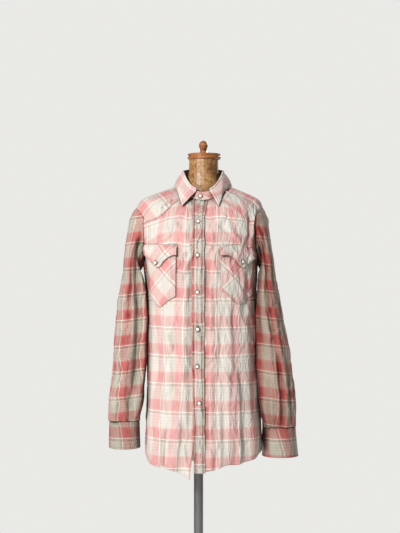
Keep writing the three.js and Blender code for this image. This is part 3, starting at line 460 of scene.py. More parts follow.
def plaid(name, across, up, turn=0.0, pale=0.0, tint=(1, 1, 1), repeat=(0.064, 0.0684)):
    """Washed plaid cotton. across and up are where a white yarn lies, in metres of the pattern."""
    material, nodes, links, shader = new_material(name, (0.6, 0.4, 0.35), 0.92)
    shader.inputs["Sheen Weight"].default_value = 0.12
    shader.inputs["Sheen Roughness"].default_value = 0.5
    shader.inputs["Specular IOR Level"].default_value = 0.2
    place = nodes.new("ShaderNodeTexCoord")
    sway = nodes.new("ShaderNodeTexNoise")
    sway.inputs["Scale"].default_value = 9
    sway.inputs["Detail"].default_value = 1
    centred = nodes.new("ShaderNodeVectorMath")
    centred.operation = "SUBTRACT"
    centred.inputs[1].default_value = (0.5, 0.5, 0.5)
    small = nodes.new("ShaderNodeVectorMath")
    small.operation = "SCALE"
    small.inputs["Scale"].default_value = 0.006
    summed = nodes.new("ShaderNodeVectorMath")
    summed.operation = "ADD"
    turned = nodes.new("ShaderNodeVectorRotate")
    turned.rotation_type = "Z_AXIS"
    turned.inputs["Angle"].default_value = math.radians(turn)
    split = nodes.new("ShaderNodeSeparateXYZ")
    links.new(place.outputs["UV"], sway.inputs["Vector"])
    links.new(sway.outputs["Color"], centred.inputs[0])
    links.new(centred.outputs[0], small.inputs[0])
    links.new(place.outputs["UV"], summed.inputs[0])
    links.new(small.outputs[0], summed.inputs[1])
    links.new(summed.outputs[0], turned.inputs["Vector"])
    links.new(turned.outputs[0], split.inputs[0])
    yarns = []
    for axis, start, size in (("X", across, -repeat[0]), ("Y", up, repeat[1])):
        place_in = nodes.new("ShaderNodeMath")
        place_in.operation = "MULTIPLY_ADD"
        place_in.inputs[1].default_value = 1 / size
        place_in.inputs[2].default_value = 40 - start / size
        links.new(split.outputs[axis], place_in.inputs[0])
        yarns.append(stripes(nodes, links, place_in.outputs[0]))
    # Yarns cross over and under: warp and weft share each place about evenly
    weave = nodes.new("ShaderNodeTexWave")
    weave.bands_direction = "DIAGONAL"
    weave.inputs["Scale"].default_value = 260
    weave.inputs["Distortion"].default_value = 1.5
    share = nodes.new("ShaderNodeMapRange")
    share.inputs["To Min"].default_value = 0.46
    share.inputs["To Max"].default_value = 0.64
    woven = nodes.new("ShaderNodeMixRGB")
    links.new(turned.outputs[0], weave.inputs["Vector"])
    links.new(weave.outputs["Fac"], share.inputs["Value"])
    links.new(share.outputs[0], woven.inputs["Fac"])
    links.new(yarns[0].outputs["Color"], woven.inputs["Color1"])
    links.new(yarns[1].outputs["Color"], woven.inputs["Color2"])
    # Slubs and uneven fading from washing
    slub = nodes.new("ShaderNodeTexNoise")
    slub.inputs["Scale"].default_value = 1
    slub.inputs["Detail"].default_value = 3
    stretch = nodes.new("ShaderNodeMapping")
    stretch.inputs["Scale"].default_value = (900, 60, 1)
    links.new(turned.outputs[0], stretch.inputs["Vector"])
    links.new(stretch.outputs[0], slub.inputs["Vector"])
    fade = nodes.new("ShaderNodeTexNoise")
    fade.inputs["Scale"].default_value = 14
    fade.inputs["Detail"].default_value = 5
    links.new(place.outputs["Object"], fade.inputs["Vector"])
    washed = nodes.new("ShaderNodeMath")
    washed.operation = "MULTIPLY_ADD"
    washed.inputs[1].default_value = 0.28
    links.new(slub.outputs["Fac"], washed.inputs[0])
    tone = nodes.new("ShaderNodeMath")
    tone.operation = "MULTIPLY_ADD"
    tone.inputs[1].default_value = 0.3
    tone.inputs[2].default_value = 0.7
    links.new(fade.outputs["Fac"], tone.inputs[0])
    links.new(tone.outputs[0], washed.inputs[2])
    toned = nodes.new("ShaderNodeVectorMath")
    toned.operation = "SCALE"
    links.new(woven.outputs["Color"], toned.inputs[0])
    links.new(washed.outputs[0], toned.inputs["Scale"])
    # A tint darkens the cloth of some pieces; on the sleeves and cuffs it is painted shade
    tinted = nodes.new("ShaderNodeVectorMath")
    tinted.operation = "MULTIPLY"
    tinted.inputs[1].default_value = tint
    # Mixing towards pale cream stands for fading; on the body's cloth it is also painted light, making it
    # look more brightly lit than the sleeves
    paler = nodes.new("ShaderNodeMixRGB")
    paler.inputs["Fac"].default_value = pale
    paler.inputs["Color2"].default_value = (0.88, 0.8, 0.74, 1)
    links.new(toned.outputs[0], tinted.inputs[0])
    links.new(tinted.outputs[0], paler.inputs["Color1"])
    # Painted shade: deep in folds and seams, and in gaps under other parts, ambient occlusion darkens and
    # deepens the colour
    depth = nodes.new("ShaderNodeAmbientOcclusion")
    depth.samples = 4
    depth.inputs["Distance"].default_value = 0.028
    crease_shade_power = nodes.new("ShaderNodeMapRange")
    crease_shade_power.inputs["From Min"].default_value = 0.25
    crease_shade_power.inputs["From Max"].default_value = 0.92
    crease_shade_power.inputs["To Min"].default_value = 2.8
    crease_shade_power.inputs["To Max"].default_value = 1.0
    crease_shaded = nodes.new("ShaderNodeGamma")
    links.new(depth.outputs["AO"], crease_shade_power.inputs["Value"])
    links.new(crease_shade_power.outputs[0], crease_shaded.inputs["Gamma"])
    links.new(paler.outputs["Color"], crease_shaded.inputs["Color"])
    links.new(crease_shaded.outputs["Color"], shader.inputs["Base Color"])
    # Fine crepe of the crinkled cotton
    crepe = nodes.new("ShaderNodeTexNoise")
    crepe.inputs["Scale"].default_value = 1
    crepe.inputs["Detail"].default_value = 4
    grain = nodes.new("ShaderNodeMapping")
    grain.inputs["Scale"].default_value = (420, 90, 1)
    links.new(place.outputs["UV"], grain.inputs["Vector"])
    links.new(grain.outputs[0], crepe.inputs["Vector"])
    fine = add_bump(nodes, links, shader, crepe.outputs["Fac"], 0.5, 0.0012)
    # Small sharp wrinkles that drying has left, a few millimetres apart
    wrinkle = nodes.new("ShaderNodeTexNoise")
    wrinkle.inputs["Scale"].default_value = 1
    wrinkle.inputs["Detail"].default_value = 2
    wrinkle.inputs["Distortion"].default_value = 0.7
    drawn = nodes.new("ShaderNodeMapping")
    drawn.inputs["Scale"].default_value = (75, 24, 1)
    drawn.inputs["Rotation"].default_value = (0, 0, 0.12)
    off_middle = nodes.new("ShaderNodeMath")
    off_middle.operation = "SUBTRACT"
    off_middle.inputs[1].default_value = 0.5
    ridge = nodes.new("ShaderNodeMath")
    ridge.operation = "ABSOLUTE"
    coarse = nodes.new("ShaderNodeBump")
    coarse.invert = True
    coarse.inputs["Strength"].default_value = 0.75
    coarse.inputs["Distance"].default_value = 0.009
    links.new(place.outputs["UV"], drawn.inputs["Vector"])
    links.new(drawn.outputs[0], wrinkle.inputs["Vector"])
    links.new(wrinkle.outputs["Fac"], off_middle.inputs[0])
    links.new(off_middle.outputs[0], ridge.inputs[0])
    links.new(ridge.outputs[0], coarse.inputs["Height"])
    links.new(coarse.outputs["Normal"], fine.inputs["Normal"])
    return material


def piece_uv(points, start=None):
    """Pattern coordinates of a grid: along its rows and up its columns, in metres."""
    across = cumulative(points, 1) * MM
    across = across + (points[:, :1, 0] * MM if start is None else start)
    up = cumulative(points, 0) * MM + points[:1, :, 2] * MM
    return np.stack([across, up], -1)


# Seams of the armhole and the neck, as angles from the front and heights on the body
SHOULDER_SEAM = 82
NECKLINE = 1410
SHOULDER_TIP = 1358
underarm = (90, 1215)
shoulder = (SHOULDER_SEAM, SHOULDER_TIP)
armhole_front = {
    "lower": [underarm, (80, 1224), (72, 1250), (68, 1280), (66.5, 1303), (66.5, 1322)],
    "upper": [(66.5, 1322), (68, 1336), (71.5, 1347), (76.5, 1354), shoulder],
}
armhole_back = {
    "lower": [underarm, (100, 1226), (108, 1254), (112, 1284), (113.5, 1308), (113.5, 1328)],
    "upper": [(113.5, 1328), (111.5, 1342), (105, 1352), (94, 1357), shoulder],
}


def on_side(places, side):
    return [(angle * side, v) for angle, v in places]


def round_back(places, side):
    return [(angle if side > 0 else 360 - angle, v) for angle, v in places]


def side_edge(hem_end, lower):
    return joined(straight(hem_end, lower[0]), through(lower), 12 / 17)


hem_back = [(90, 786), (112, 748), (138, 724), (180, 712), (222, 722), (248, 736), (270, 757)]
yoke_line_back = [
    (113.5, 1328), (136, 1322), (158, 1306), (180, 1288), (202, 1306), (224, 1322), (246.5, 1328),
]
back_area = filled(
    through(hem_back),
    through(yoke_line_back),
    side_edge(hem_back[0], round_back(armhole_back["lower"], 1)),
    side_edge(hem_back[-1], round_back(armhole_back["lower"], -1)),
)
back_surface = body_surface(back_area, 0)
# Painted light: the body's cloth is mixed paler than the sleeves', as if lit more brightly
body_cloth = plaid("plaid cotton, body", 0.028, 1.0668, pale=0.24)
points, normals = back_surface(*steps(430, 580, 3.6))
uv = piece_uv(points, start=-0.215)
back = cloth("back_cloth", points, normals, uv, body_cloth)
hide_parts("back")


# Right front, the wearer's right
# Plaid cotton, hemmed with the back. Its centre edge is turned under and runs beneath the
# left front, and it swings away below the last snap.
hem_right = (
    [tuple(p) for p in seen_at([-21.6, -45, -76, -104], [699, 713, 724, 726])] + [(-76, 741), (-90, 757)]
)
edge_right = (
    (-21.6, 699), (-16, 760), (-7, 815), (5, 865), (11, 930), (12, 1060), (12, 1180), (12, 1280), (13, 1345),
)
centre_right = through([tuple(seen_at(x, z)) for x, z in edge_right] + [(2, NECKLINE)])
yoke_line_right = (
    [(-38, NECKLINE)] + [tuple(p) for p in seen_at([-50, -76, -99], [1374, 1351, 1330])] + [(-66.5, 1322)]
)


def front_area(side, hem, centre, neck_edge, yoke_line):
    top = joined(straight(neck_edge, yoke_line[0]), through(yoke_line), 0.3)
    edge = side_edge(hem[-1], on_side(armhole_front["lower"], side))
    return filled(through(hem), top, centre, edge)


front_right_area = front_area(-1, hem_right, centre_right, (2, NECKLINE), yoke_line_right)


def side_seam_groove(s, t):
    return -1.3 * np.exp(-((1 - s) / 0.02) ** 2)


front_right_surface = body_surface(front_right_area, lambda s, t: -2.6 * ease(0.4, 0.2, s), side_seam_groove)
points, normals = front_right_surface(*steps(215, 640, 3.2))
uv = piece_uv(points)
uv[..., 0] = points[:, :1, 0] * MM * 2 - uv[..., 0] + 0.066
uv[..., 0] += 0.05 * (1.2 - points[..., 2] * MM)
front_right = cloth("front_right_cloth", points, normals, uv, body_cloth)
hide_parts("front_right")


# Left front, the wearer's left
# The same cloth, lapped over the right front and joined to the back by the side seam.
hem_left = (
    [tuple(p) for p in seen_at([-10, 18, 40, 66, 100], [716, 720, 724, 734, 735])] + [(74, 754), (90, 786)]
)
plackets = np.array([
    (715, -10, 16), (800, -11, 15.5), (884, -13, 15), (972, -16, 13.5), (1061, -16, 14),
    (1151, -17, 14), (1240, -16, 14), (1302, -13, 14), (1352, -12, 18),
], dtype=float)
centre_left = through([tuple(seen_at(left + 0.8, z)) for z, left, _ in plackets] + [(-20, NECKLINE)])
yoke_line_left = (
    [(33, NECKLINE)] + [tuple(p) for p in seen_at([58, 88, 118], [1373, 1354, 1329])] + [(66.5, 1322)]
)
front_left_area = front_area(1, hem_left, centre_left, (-20, NECKLINE), yoke_line_left)
front_left_surface = body_surface(front_left_area, 0, side_seam_groove)
points, normals = front_left_surface(*steps(240, 640, 3.2))
uv = piece_uv(points) - (0.019, 0)
front_left = cloth("front_left_cloth", points, normals, uv, body_cloth)
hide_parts("front_left")


# Placket
# A folded strip of the plaid on the edge of the left front, stitched down along both sides.
# It puckers a little between the snaps.
placket_start = through([tuple(seen_at(left, z)) for z, left, _ in plackets] + [(-20, NECKLINE)])
placket_end = through([tuple(seen_at(right, z)) for z, _, right in plackets] + [(10, NECKLINE)])


def placket_area(s, t):
    wave = 0.32 * np.sin(t * 47 + 0.6) + 0.22 * np.sin(t * 83 + 2)
    start, end = placket_start(t), placket_end(t)
    start = start + np.stack([wave, 0 * wave], -1)
    end = end + np.stack([0.32 * np.sin(t * 71 + 1.3), 0 * wave], -1)
    return start * (1 - s[..., None]) + end * s[..., None]


def placket_crown(s, t):
    edges = np.exp(-((s - 0.15) / 0.05) ** 2) + np.exp(-((s - 0.85) / 0.05) ** 2)
    rims = np.exp(-((s - 0.02) / 0.05) ** 2) + np.exp(-((s - 0.98) / 0.05) ** 2)
    pucker = crinkles(s * 31, t * 660, 5, 520, ((0, 31), (0, 660)), (1.6, 3.2), (4, 12), 0.8, 0.9)
    return 1.3 * np.sin(math.pi * s) + 1.4 * rims - 3.1 * edges + pucker


placket_lift = 2.2
placket_surface = body_surface(placket_area, placket_lift, placket_crown)
points, normals = placket_surface(*steps(31, 660, 1.7))
strip_cloth = plaid("plaid cotton, placket", -0.004, 1.078, pale=0.1, tint=(0.88, 0.86, 0.84))
placket = cloth("placket_cloth", points, normals, piece_uv(points), strip_cloth, thick=1.4)
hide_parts("placket")


# Front yokes
# Cut on the bias, so the plaid runs as diamonds. Each is turned under and topstitched on the
# front along its slanting lower edge.
bias_cloth = plaid("plaid cotton, bias", 0.012, 0.02, turn=45, pale=0.18)


def flat_uv(points, at=(0.0, 0.0)):
    """Pattern coordinates of a nearly flat piece, laid on its own middle plane."""
    flat = points.reshape(-1, 3)
    middle = flat.mean(0)
    _, _, axes = np.linalg.svd(flat - middle, full_matrices=False)
    normal = axes[2] * np.sign(axes[2][1] * -1 or 1)
    right = unit(np.cross(normal, (0, 0, 1)))
    right = right * (np.sign(right[0]) or 1)
    rise = unit(np.cross(right, normal))
    rise = rise * (np.sign(rise[2]) or 1)
    uv = np.stack([(points - middle) @ right, (points - middle) @ rise], -1) * MM
    return uv + np.array(at)


def front_yoke(name, side, yoke_line, at):
    seam = straight((SHOULDER_SEAM * side, NECKLINE), (SHOULDER_SEAM * side, SHOULDER_TIP))
    neck = straight(yoke_line[0], (SHOULDER_SEAM * side, NECKLINE))
    area = filled(through(yoke_line), seam, neck, through(on_side(armhole_front["upper"], side)))

    def edge(s, t):
        pucker = crinkles(s * 105, t * 50, 7 + side, 70, ((0, 105), (0, 50)), (2, 4), (4, 12), 0.7, 0.9)
        return pucker + 0.7 * ease(0.1, 0.0, t)
    surface = body_surface(area, 0.2, edge)
    points, normals = surface(*steps(120, 80, 2.2))
    yoke = cloth(name + "_cloth", points, normals, flat_uv(points, at=at), bias_cloth)
    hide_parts(name)
    return surface


yoke_right_surface = front_yoke("yoke_front_right", -1, yoke_line_right, (0.01, 0.0))
yoke_left_surface = front_yoke("yoke_front_left", 1, yoke_line_left, (0.0, 0.012))


# Back yoke
# One bias-cut piece over both shoulders, pointed at the middle of the back, topstitched on it.
top = joined(
    straight((SHOULDER_SEAM, SHOULDER_TIP), (SHOULDER_SEAM, NECKLINE)),
    joined(
        straight((SHOULDER_SEAM, NECKLINE), (360 - SHOULDER_SEAM, NECKLINE)),
        straight((360 - SHOULDER_SEAM, NECKLINE), (360 - SHOULDER_SEAM, SHOULDER_TIP)),
        10 / 17,
    ),
    7 / 24,
)
yoke_back_area = filled(
    through(yoke_line_back),
    top,
    through(on_side(armhole_back["upper"], 1)),
    through(round_back(armhole_back["upper"], -1)),
)
yoke_back_surface = body_surface(yoke_back_area, 0.2, lambda s, t: 0.7 * ease(0.05, 0.0, t))
points, normals = yoke_back_surface(*steps(420, 150, 3.0))
uv = flat_uv(points)
yoke_back = cloth("yoke_back_cloth", points, normals, uv, bias_cloth)
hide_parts("yoke_back")


# Pockets
# A pointed patch of bias plaid on each front, its top turned in and its other sides stitched down.
pockets = {
    "pocket_right": dict(
        top=[(-29, 1256), (-49, 1257), (-68, 1257)],
        bottom=[(-30, 1141), (-37, 1133), (-44, 1122), (-50, 1115), (-56, 1122), (-62, 1133), (-68, 1141)],
        flat=(0.104, 0.141), area=0.0122, on=front_right, pattern=(0.006, 0.0),
    ),
    "pocket_left": dict(
        top=[(23, 1248), (46, 1252), (66, 1243)],
        bottom=[(24, 1157), (31, 1147), (38, 1133), (46, 1122), (53, 1128), (60, 1138), (66, 1147)],
        flat=(0.115, 0.129), area=0.0118, on=front_left, pattern=(-0.0073, 0.054),
    ),
}
pocket_creases = {
    "pocket_right": (
        (-70, 1235, -66, 1160, 4, 1.2), (-95, 1200, -80, 1140, 5, -1.0), (-60, 1190, -85, 1150, 4, 0.9),
    ),
    "pocket_left": (
        (104, 1206, 116, 1130, 3.5, 1.8), (98, 1206, 104, 1150, 4, -1.4),
        (70, 1220, 84, 1160, 4, 1.2), (118, 1220, 126, 1150, 4, 1.3),
    ),
}


def patch_area(outline):
    bottom, top = outline["bottom"], outline["top"]
    return filled(through(bottom), through(top), straight(bottom[0], top[0]), straight(bottom[-1], top[-1]))


pocket_lift = 1.9
pocket_surfaces = {}
for name, outline in pockets.items():
    area = patch_area(outline)

    def bag(s, t, area=area, name=name):
        here = body_point(*np.moveaxis(area(s, t), -1, 0))
        full = 1.4 * np.sin(math.pi * s) ** 0.8 * np.sin(math.pi * np.clip(t, 0, 0.75) / 1.5)
        edge = np.minimum(np.minimum(s, 1 - s), t)
        seam = -0.45 * np.exp(-((edge - 0.05) / 0.018) ** 2)
        return full + seam + creases(here[..., 0], here[..., 2], pocket_creases[name]) * ease(0.0, 0.1, edge)
    surface = body_surface(area, pocket_lift, bag)
    pocket_surfaces[name] = surface
    points, normals = surface(*steps(105, 130, 1.9))
    uv = flat_uv(points, at=outline["pattern"])
    pocket = cloth(name + "_cloth", points, normals, uv, bias_cloth)
    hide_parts(name)


# Pocket flaps
# Two layers of bias plaid, scalloped to a point that snaps to the pocket and sewn on the front
# along the top. The one on the viewer's right has rolled and curls up at both ends.
flaps = {
    "flap_right": dict(
        top=[(-28, 1266), (-49, 1267), (-68, 1267)],
        bottom=[(-28, 1241), (-32.5, 1240), (-37, 1235), (-42, 1226), (-46, 1216), (-50, 1211), (-54, 1216),
                (-58, 1226), (-62, 1235), (-65.5, 1240), (-69, 1241)],
        flat=(0.105, 0.056), area=0.0042, on="pocket_right_cloth",
    ),
    "flap_left": dict(
        top=[(22, 1259), (35, 1266), (47, 1266), (58, 1260), (67, 1253)],
        bottom=[(23, 1240), (28, 1241), (33, 1239), (39, 1229), (44, 1216), (48, 1210), (52, 1214),
                (57, 1223), (61, 1230), (64, 1232), (67, 1232)],
        flat=(0.11, 0.056), area=0.0042, on="pocket_left_cloth",
    ),
}
flap_surfaces = {}
for name, outline in flaps.items():
    curl = 1.0 if name == "flap_left" else 0.25

    def roll(s, t, curl=curl):
        off = 5.4 - 4.5 * ease(0.55, 1.0, t)
        ends = ease(0.3, 0.0, s) + 0.8 * ease(0.72, 1.0, s)
        free = 1 - t
        wave = np.sin(s * 9.0 + 1.0) * 1.2 + np.sin(s * 17) * 0.6 + 1.8 * np.exp(-((s - 0.3) / 0.12) ** 2)
        return off + curl * free * (3.2 * ends + wave * 1.3) + 0.5 * np.exp(-((free - 0.9) / 0.1) ** 2)
    surface = body_surface(patch_area(outline), 1.0, roll)
    flap_surfaces[name] = surface
    points, normals = surface(*steps(105, 50, 1.3))
    uv = flat_uv(points, at=(0.0, 0.004))
    flap = cloth(name + "_cloth", points, normals, uv, bias_cloth, thick=1.6)
    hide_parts(name)


# Collar stand
# A stiffened band of the plaid, sewn round the neckline, with one end lapped over the other
# at the front under the top snap.
stand_rings = np.array([
    (0, -49.7, 69.7, -65, 62, 1373.8, 1413.4, 1423.4, 2),
    (0.5, -44, 66, -63.5, 58.5, 1384, 1429, 1438, 2),
    (1, -38, 60.5, -61, 54, 1395, 1446, 1455, 2),
], dtype=float)


def strip_round(rings, start, turn, set_back):
    def surface(s, t):
        angle = start - turn * s
        ring = smooth(rings, t)
        across = ring_point(ring, angle + 1) - ring_point(ring, angle - 1)
        top, bottom = smooth(rings, np.ones_like(t)), smooth(rings, np.zeros_like(t))
        rise = ring_point(top, angle) - ring_point(bottom, angle)
        normal = unit(np.cross(across, rise))
        off = -set_back(turn * s)
        return ring_point(ring, angle) + normal * off[..., None], normal
    return surface


def stand_surface(s, t):
    band = strip_round(stand_rings, 2, 382, lambda turned: 2.5 * ease(44, 24, turned))
    # The over end is rounded at its top corner
    droop = 10 * ease(0.985, 1.0, s) ** 2 * t
    points, normal = band(s, t)
    bulge = crinkles(s * 390, t * 34, 21, 90, ((0, 390), (0, 34)), (5, 10), (6, 16), 0.35, 0.3)
    points = points + normal * bulge[..., None]
    points[..., 2] -= droop
    return points, normal


collar_cloth = plaid("plaid cotton, collar", 0.02, 0.012, pale=0.34)
points, normals = stand_surface(*steps(390, 34, 2.6))
stand = cloth("collar_stand_cloth", points, normals, piece_uv(points), collar_cloth, thick=1.8)
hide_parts("collar_stand")


# Collar
# Two layers of plaid with a stiffener, turned over the stand, its points spread on the fronts
# and its edge topstitched all round.
fold_ring = np.array([-38, 60.5, -61, 54, 1397, 1448, 1457, 2], dtype=float)
collar_edge = []
for at, place, lift in (
    (15, seen_at(-40, 1357), 5.5), (36, seen_at(-45, 1373), 4.5), (60, seen_at(-51, 1390), 4.6),
    (90, (-90, 1407), 4.4), (135, (-135, 1403), 4), (180, (-180, 1401), 3.4), (225, (-225, 1403), 4),
    (270, (-270, 1406), 5.4), (300, seen_at(62, 1390), 5.2), (325, seen_at(56, 1373), 4.5),
    (345, seen_at(49, 1357), 5.5),
):
    angle, v = float(place[0]), float(place[1])
    point = body_point(angle, v) + body_normal(angle, v) * lift
    collar_edge.append((at, *point))
collar_edge = np.array(collar_edge)
# Across the collar: share of the way, out from the fold and up from it, in millimetres
fold_profile = np.array([
    (0, -1.4, 3.0), (0.06, 0.4, 3.7), (0.12, 2.2, 2.6), (0.2, 3.3, -0.2), (0.28, 3.8, -3.0),
], dtype=float)


def collar_surface(s, t):
    at = 15 + 330 * s
    angle = np.radians(-at)
    away = np.stack([np.sin(angle), -np.cos(angle), 0 * angle], -1)
    fold = ring_point(fold_ring + 0 * at[..., None], -at)
    turned = smooth(fold_profile, np.minimum(t, 0.28))
    start = fold + away * turned[..., :1]
    start[..., 2] += turned[..., 1]
    share = np.clip((t - 0.28) / 0.72, 0, 1)[..., None]
    points = start * (1 - share) + smooth(collar_edge, at) * share
    ends = ease(0.07, 0.0, s) + ease(0.93, 1.0, s)
    bulge = 2.4 * np.sin(math.pi * share[..., 0]) + 1.2 * ends * share[..., 0] * np.sin(s * 300)
    bulge = bulge + crinkles(s * 420, t * 55, 31, 120, ((0, 420), (10, 55)), (6, 12), (8, 20), 0.45, 0.4)
    return points + away * bulge[..., None], grid_normals(points, away)


def grid_normals(points, outward):
    """Normals of a grid of points, on the side that faces outward."""
    if points.ndim < 3 or min(points.shape[:2]) < 2:
        return unit(outward)
    normal = unit(np.cross(np.gradient(points, axis=1), np.gradient(points, axis=0)))
    middle = tuple(n // 2 for n in points.shape[:2])
    return normal * np.sign(np.dot(normal[middle], outward[middle]) or 1)


points, normals = collar_surface(*steps(420, 58, 2.2))
uv = np.stack([cumulative(points, 1), cumulative(points, 0)], -1) * MM
collar = cloth("collar_cloth", points, normals, uv, collar_cloth, thick=1.8)
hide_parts("collar")


# Sleeves
# Each is one piece of plaid closed along its underside, set into the armhole and gathered
# slightly into the cuff. They hang empty, pressed flat against the sides.

# Ring, outer edge, inner edge, middle, half depth, and how much of the armhole's shape it has
sleeve_tables = {
    "sleeve_right": (-1, [
        (1, -167, 1345, -141, 1208, -1, 60, 0.85), (2, -174, 1318, -141, 1196, -1, 63, 0.55),
        (3, -180, 1280, -140, 1180, -2, 66, 0.25), (4, -184, 1238, -136, 1158, -3, 67, 0),
        (5, -188, 1194, -131, 1132, -4, 67, 0), (6, -196, 1148, -127, 1102, -5, 65, 0),
        (7, -200, 1098, -126, 1068, -6, 62, 0), (8, -203, 1048, -129, 1028, -8, 59, 0),
        (9, -207, 998, -132, 986, -10, 57, 0), (10, -211, 948, -137, 942, -11, 54, 0),
        (11, -216, 902, -142, 898, -12, 51, 0), (12, -221, 860, -144.5, 858, -12, 46, 0),
        (13, -221.5, 833, -146, 832, -12, 36, 0),
    ]),
    "sleeve_left": (1, [
        (1, 168, 1345, 151, 1208, -1, 60, 0.85), (2, 172, 1316, 151, 1196, -1, 63, 0.55),
        (3, 178, 1278, 149, 1180, -1, 66, 0.25), (4, 184, 1236, 146, 1158, -1, 67, 0),
        (5, 188, 1192, 143, 1130, -2, 67, 0), (6, 197, 1146, 141, 1100, -3, 65, 0),
        (7, 206, 1096, 142, 1064, -5, 62, 0), (8, 217, 1046, 145, 1024, -7, 59, 0),
        (9, 225, 994, 147, 980, -9, 57, 0), (10, 232, 942, 150, 932, -11, 54, 0),
        (11, 236, 892, 155, 886, -12, 51, 0), (12, 240, 846, 158, 842, -13, 46, 0),
        (13, 241, 818, 158.6, 817, -12.5, 37.5, 0),
    ]),
}
last_ring = 13
# Rumples: ring, angle round it, height
rumples = (
    (3.4, 70, 4), (5.2, 300, 4), (6.4, 40, 3), (7.6, 110, -4), (8.4, 330, 4), (9.3, 70, 4),
    (10.2, 250, -4), (11, 20, 3.5), (11.6, 120, 4),
)
# Creases: angle round and height to angle and height, half width in mm, height in mm
sleeve_creases = {
    "sleeve_right": (
        (104, 1350, 110, 1090, 9, -5), (110, 1110, 108, 838, 9, -6), (130, 1240, 130, 850, 7, 3),
        (70, 1330, 62, 1130, 8, 3.2), (84, 1250, 78, 1060, 6, -2.8), (40, 1300, 36, 1100, 7, -3),
        (60, 1060, 52, 880, 8, 2.6), (84, 980, 90, 838, 5, 2.6), (30, 1090, 28, 900, 7, -2.4),
        (40, 1120, 90, 1080, 6, -1.6), (30, 1050, 100, 1030, 5, 1.8),
        (20, 970, 80, 955, 5, -1.5), (40, 930, 110, 900, 5, 1.8),
        (20, 900, 60, 850, 5, 1.4), (90, 890, 100, 838, 5, 1.8), (70, 880, 74, 838, 4, -1.4),
        (120, 880, 130, 838, 4, 1.4), (80, 1300, 84, 1180, 8, 1.8), (50, 1310, 60, 1220, 7, -1.4),
        (250, 1240, 300, 1180, 8, 1.8), (240, 1100, 300, 1060, 7, -1.8), (260, 1000, 320, 960, 7, 1.8),
        (250, 900, 310, 870, 6, 1.6), (300, 870, 304, 838, 5, 1.6),
    ),
    "sleeve_left": (
        (98, 1350, 110, 1130, 8, 4), (122, 1300, 128, 1000, 9, -5), (84, 1250, 88, 1020, 7, -3),
        (64, 1340, 60, 1150, 7, 3), (46, 1290, 40, 1100, 7, -2.8), (104, 1140, 100, 900, 7, 3),
        (66, 1100, 62, 900, 7, 2.8), (80, 1010, 84, 824, 5, -3.2), (92, 960, 96, 824, 5, 3),
        (50, 980, 46, 824, 6, -2.6), (36, 960, 34, 824, 5, 2.4), (116, 940, 120, 824, 5, -2.6),
        (30, 1130, 90, 1100, 6, -1.6), (50, 1060, 110, 1030, 5, 1.8), (20, 930, 70, 900, 5, 1.6),
        (90, 900, 96, 824, 5, 2.0), (70, 880, 72, 824, 4, -1.6), (110, 880, 118, 824, 4, 1.5),
        (86, 1330, 84, 1210, 7, 2.2), (66, 1330, 68, 1230, 6, -1.8), (104, 1310, 100, 1200, 6, 1.8),
        (250, 1240, 300, 1190, 8, -1.8), (240, 1110, 300, 1060, 7, 1.8), (260, 1000, 320, 970, 7, -1.8),
        (250, 900, 310, 880, 6, 1.6), (290, 870, 296, 824, 5, 1.6),
    ),
}


def body_side(y, z, side):
    left, right, fore, rear, _, _, _, square = np.moveaxis(smooth(body_rings, z), -1, 0)
    depth = np.where(y < 0, -fore, rear)
    share = np.maximum(1 - np.abs(y / depth) ** square, 0) ** (1 / square)
    return (left + right) / 2 + side * share * (right - left) / 2


def armhole_loop(side):
    """The armhole as a closed loop from the shoulder by the front to the underarm and back."""
    parts = [
        through(on_side(armhole_front["upper"], side)), through(on_side(armhole_front["lower"], side)),
        through(on_side(armhole_back["lower"], side)), through(on_side(armhole_back["upper"], side)),
    ]
    t = np.linspace(0, 1, 60)
    places = np.concatenate([parts[0](1 - t), parts[1](1 - t), parts[2](t), parts[3](t)])
    loop = body_point(places[:, 0], places[:, 1])
    middle = loop.mean(0)
    turn = np.degrees(np.unwrap(np.arctan2(-(loop[:, 1] - middle[1]), loop[:, 2] - middle[2])))
    return turn, loop, middle


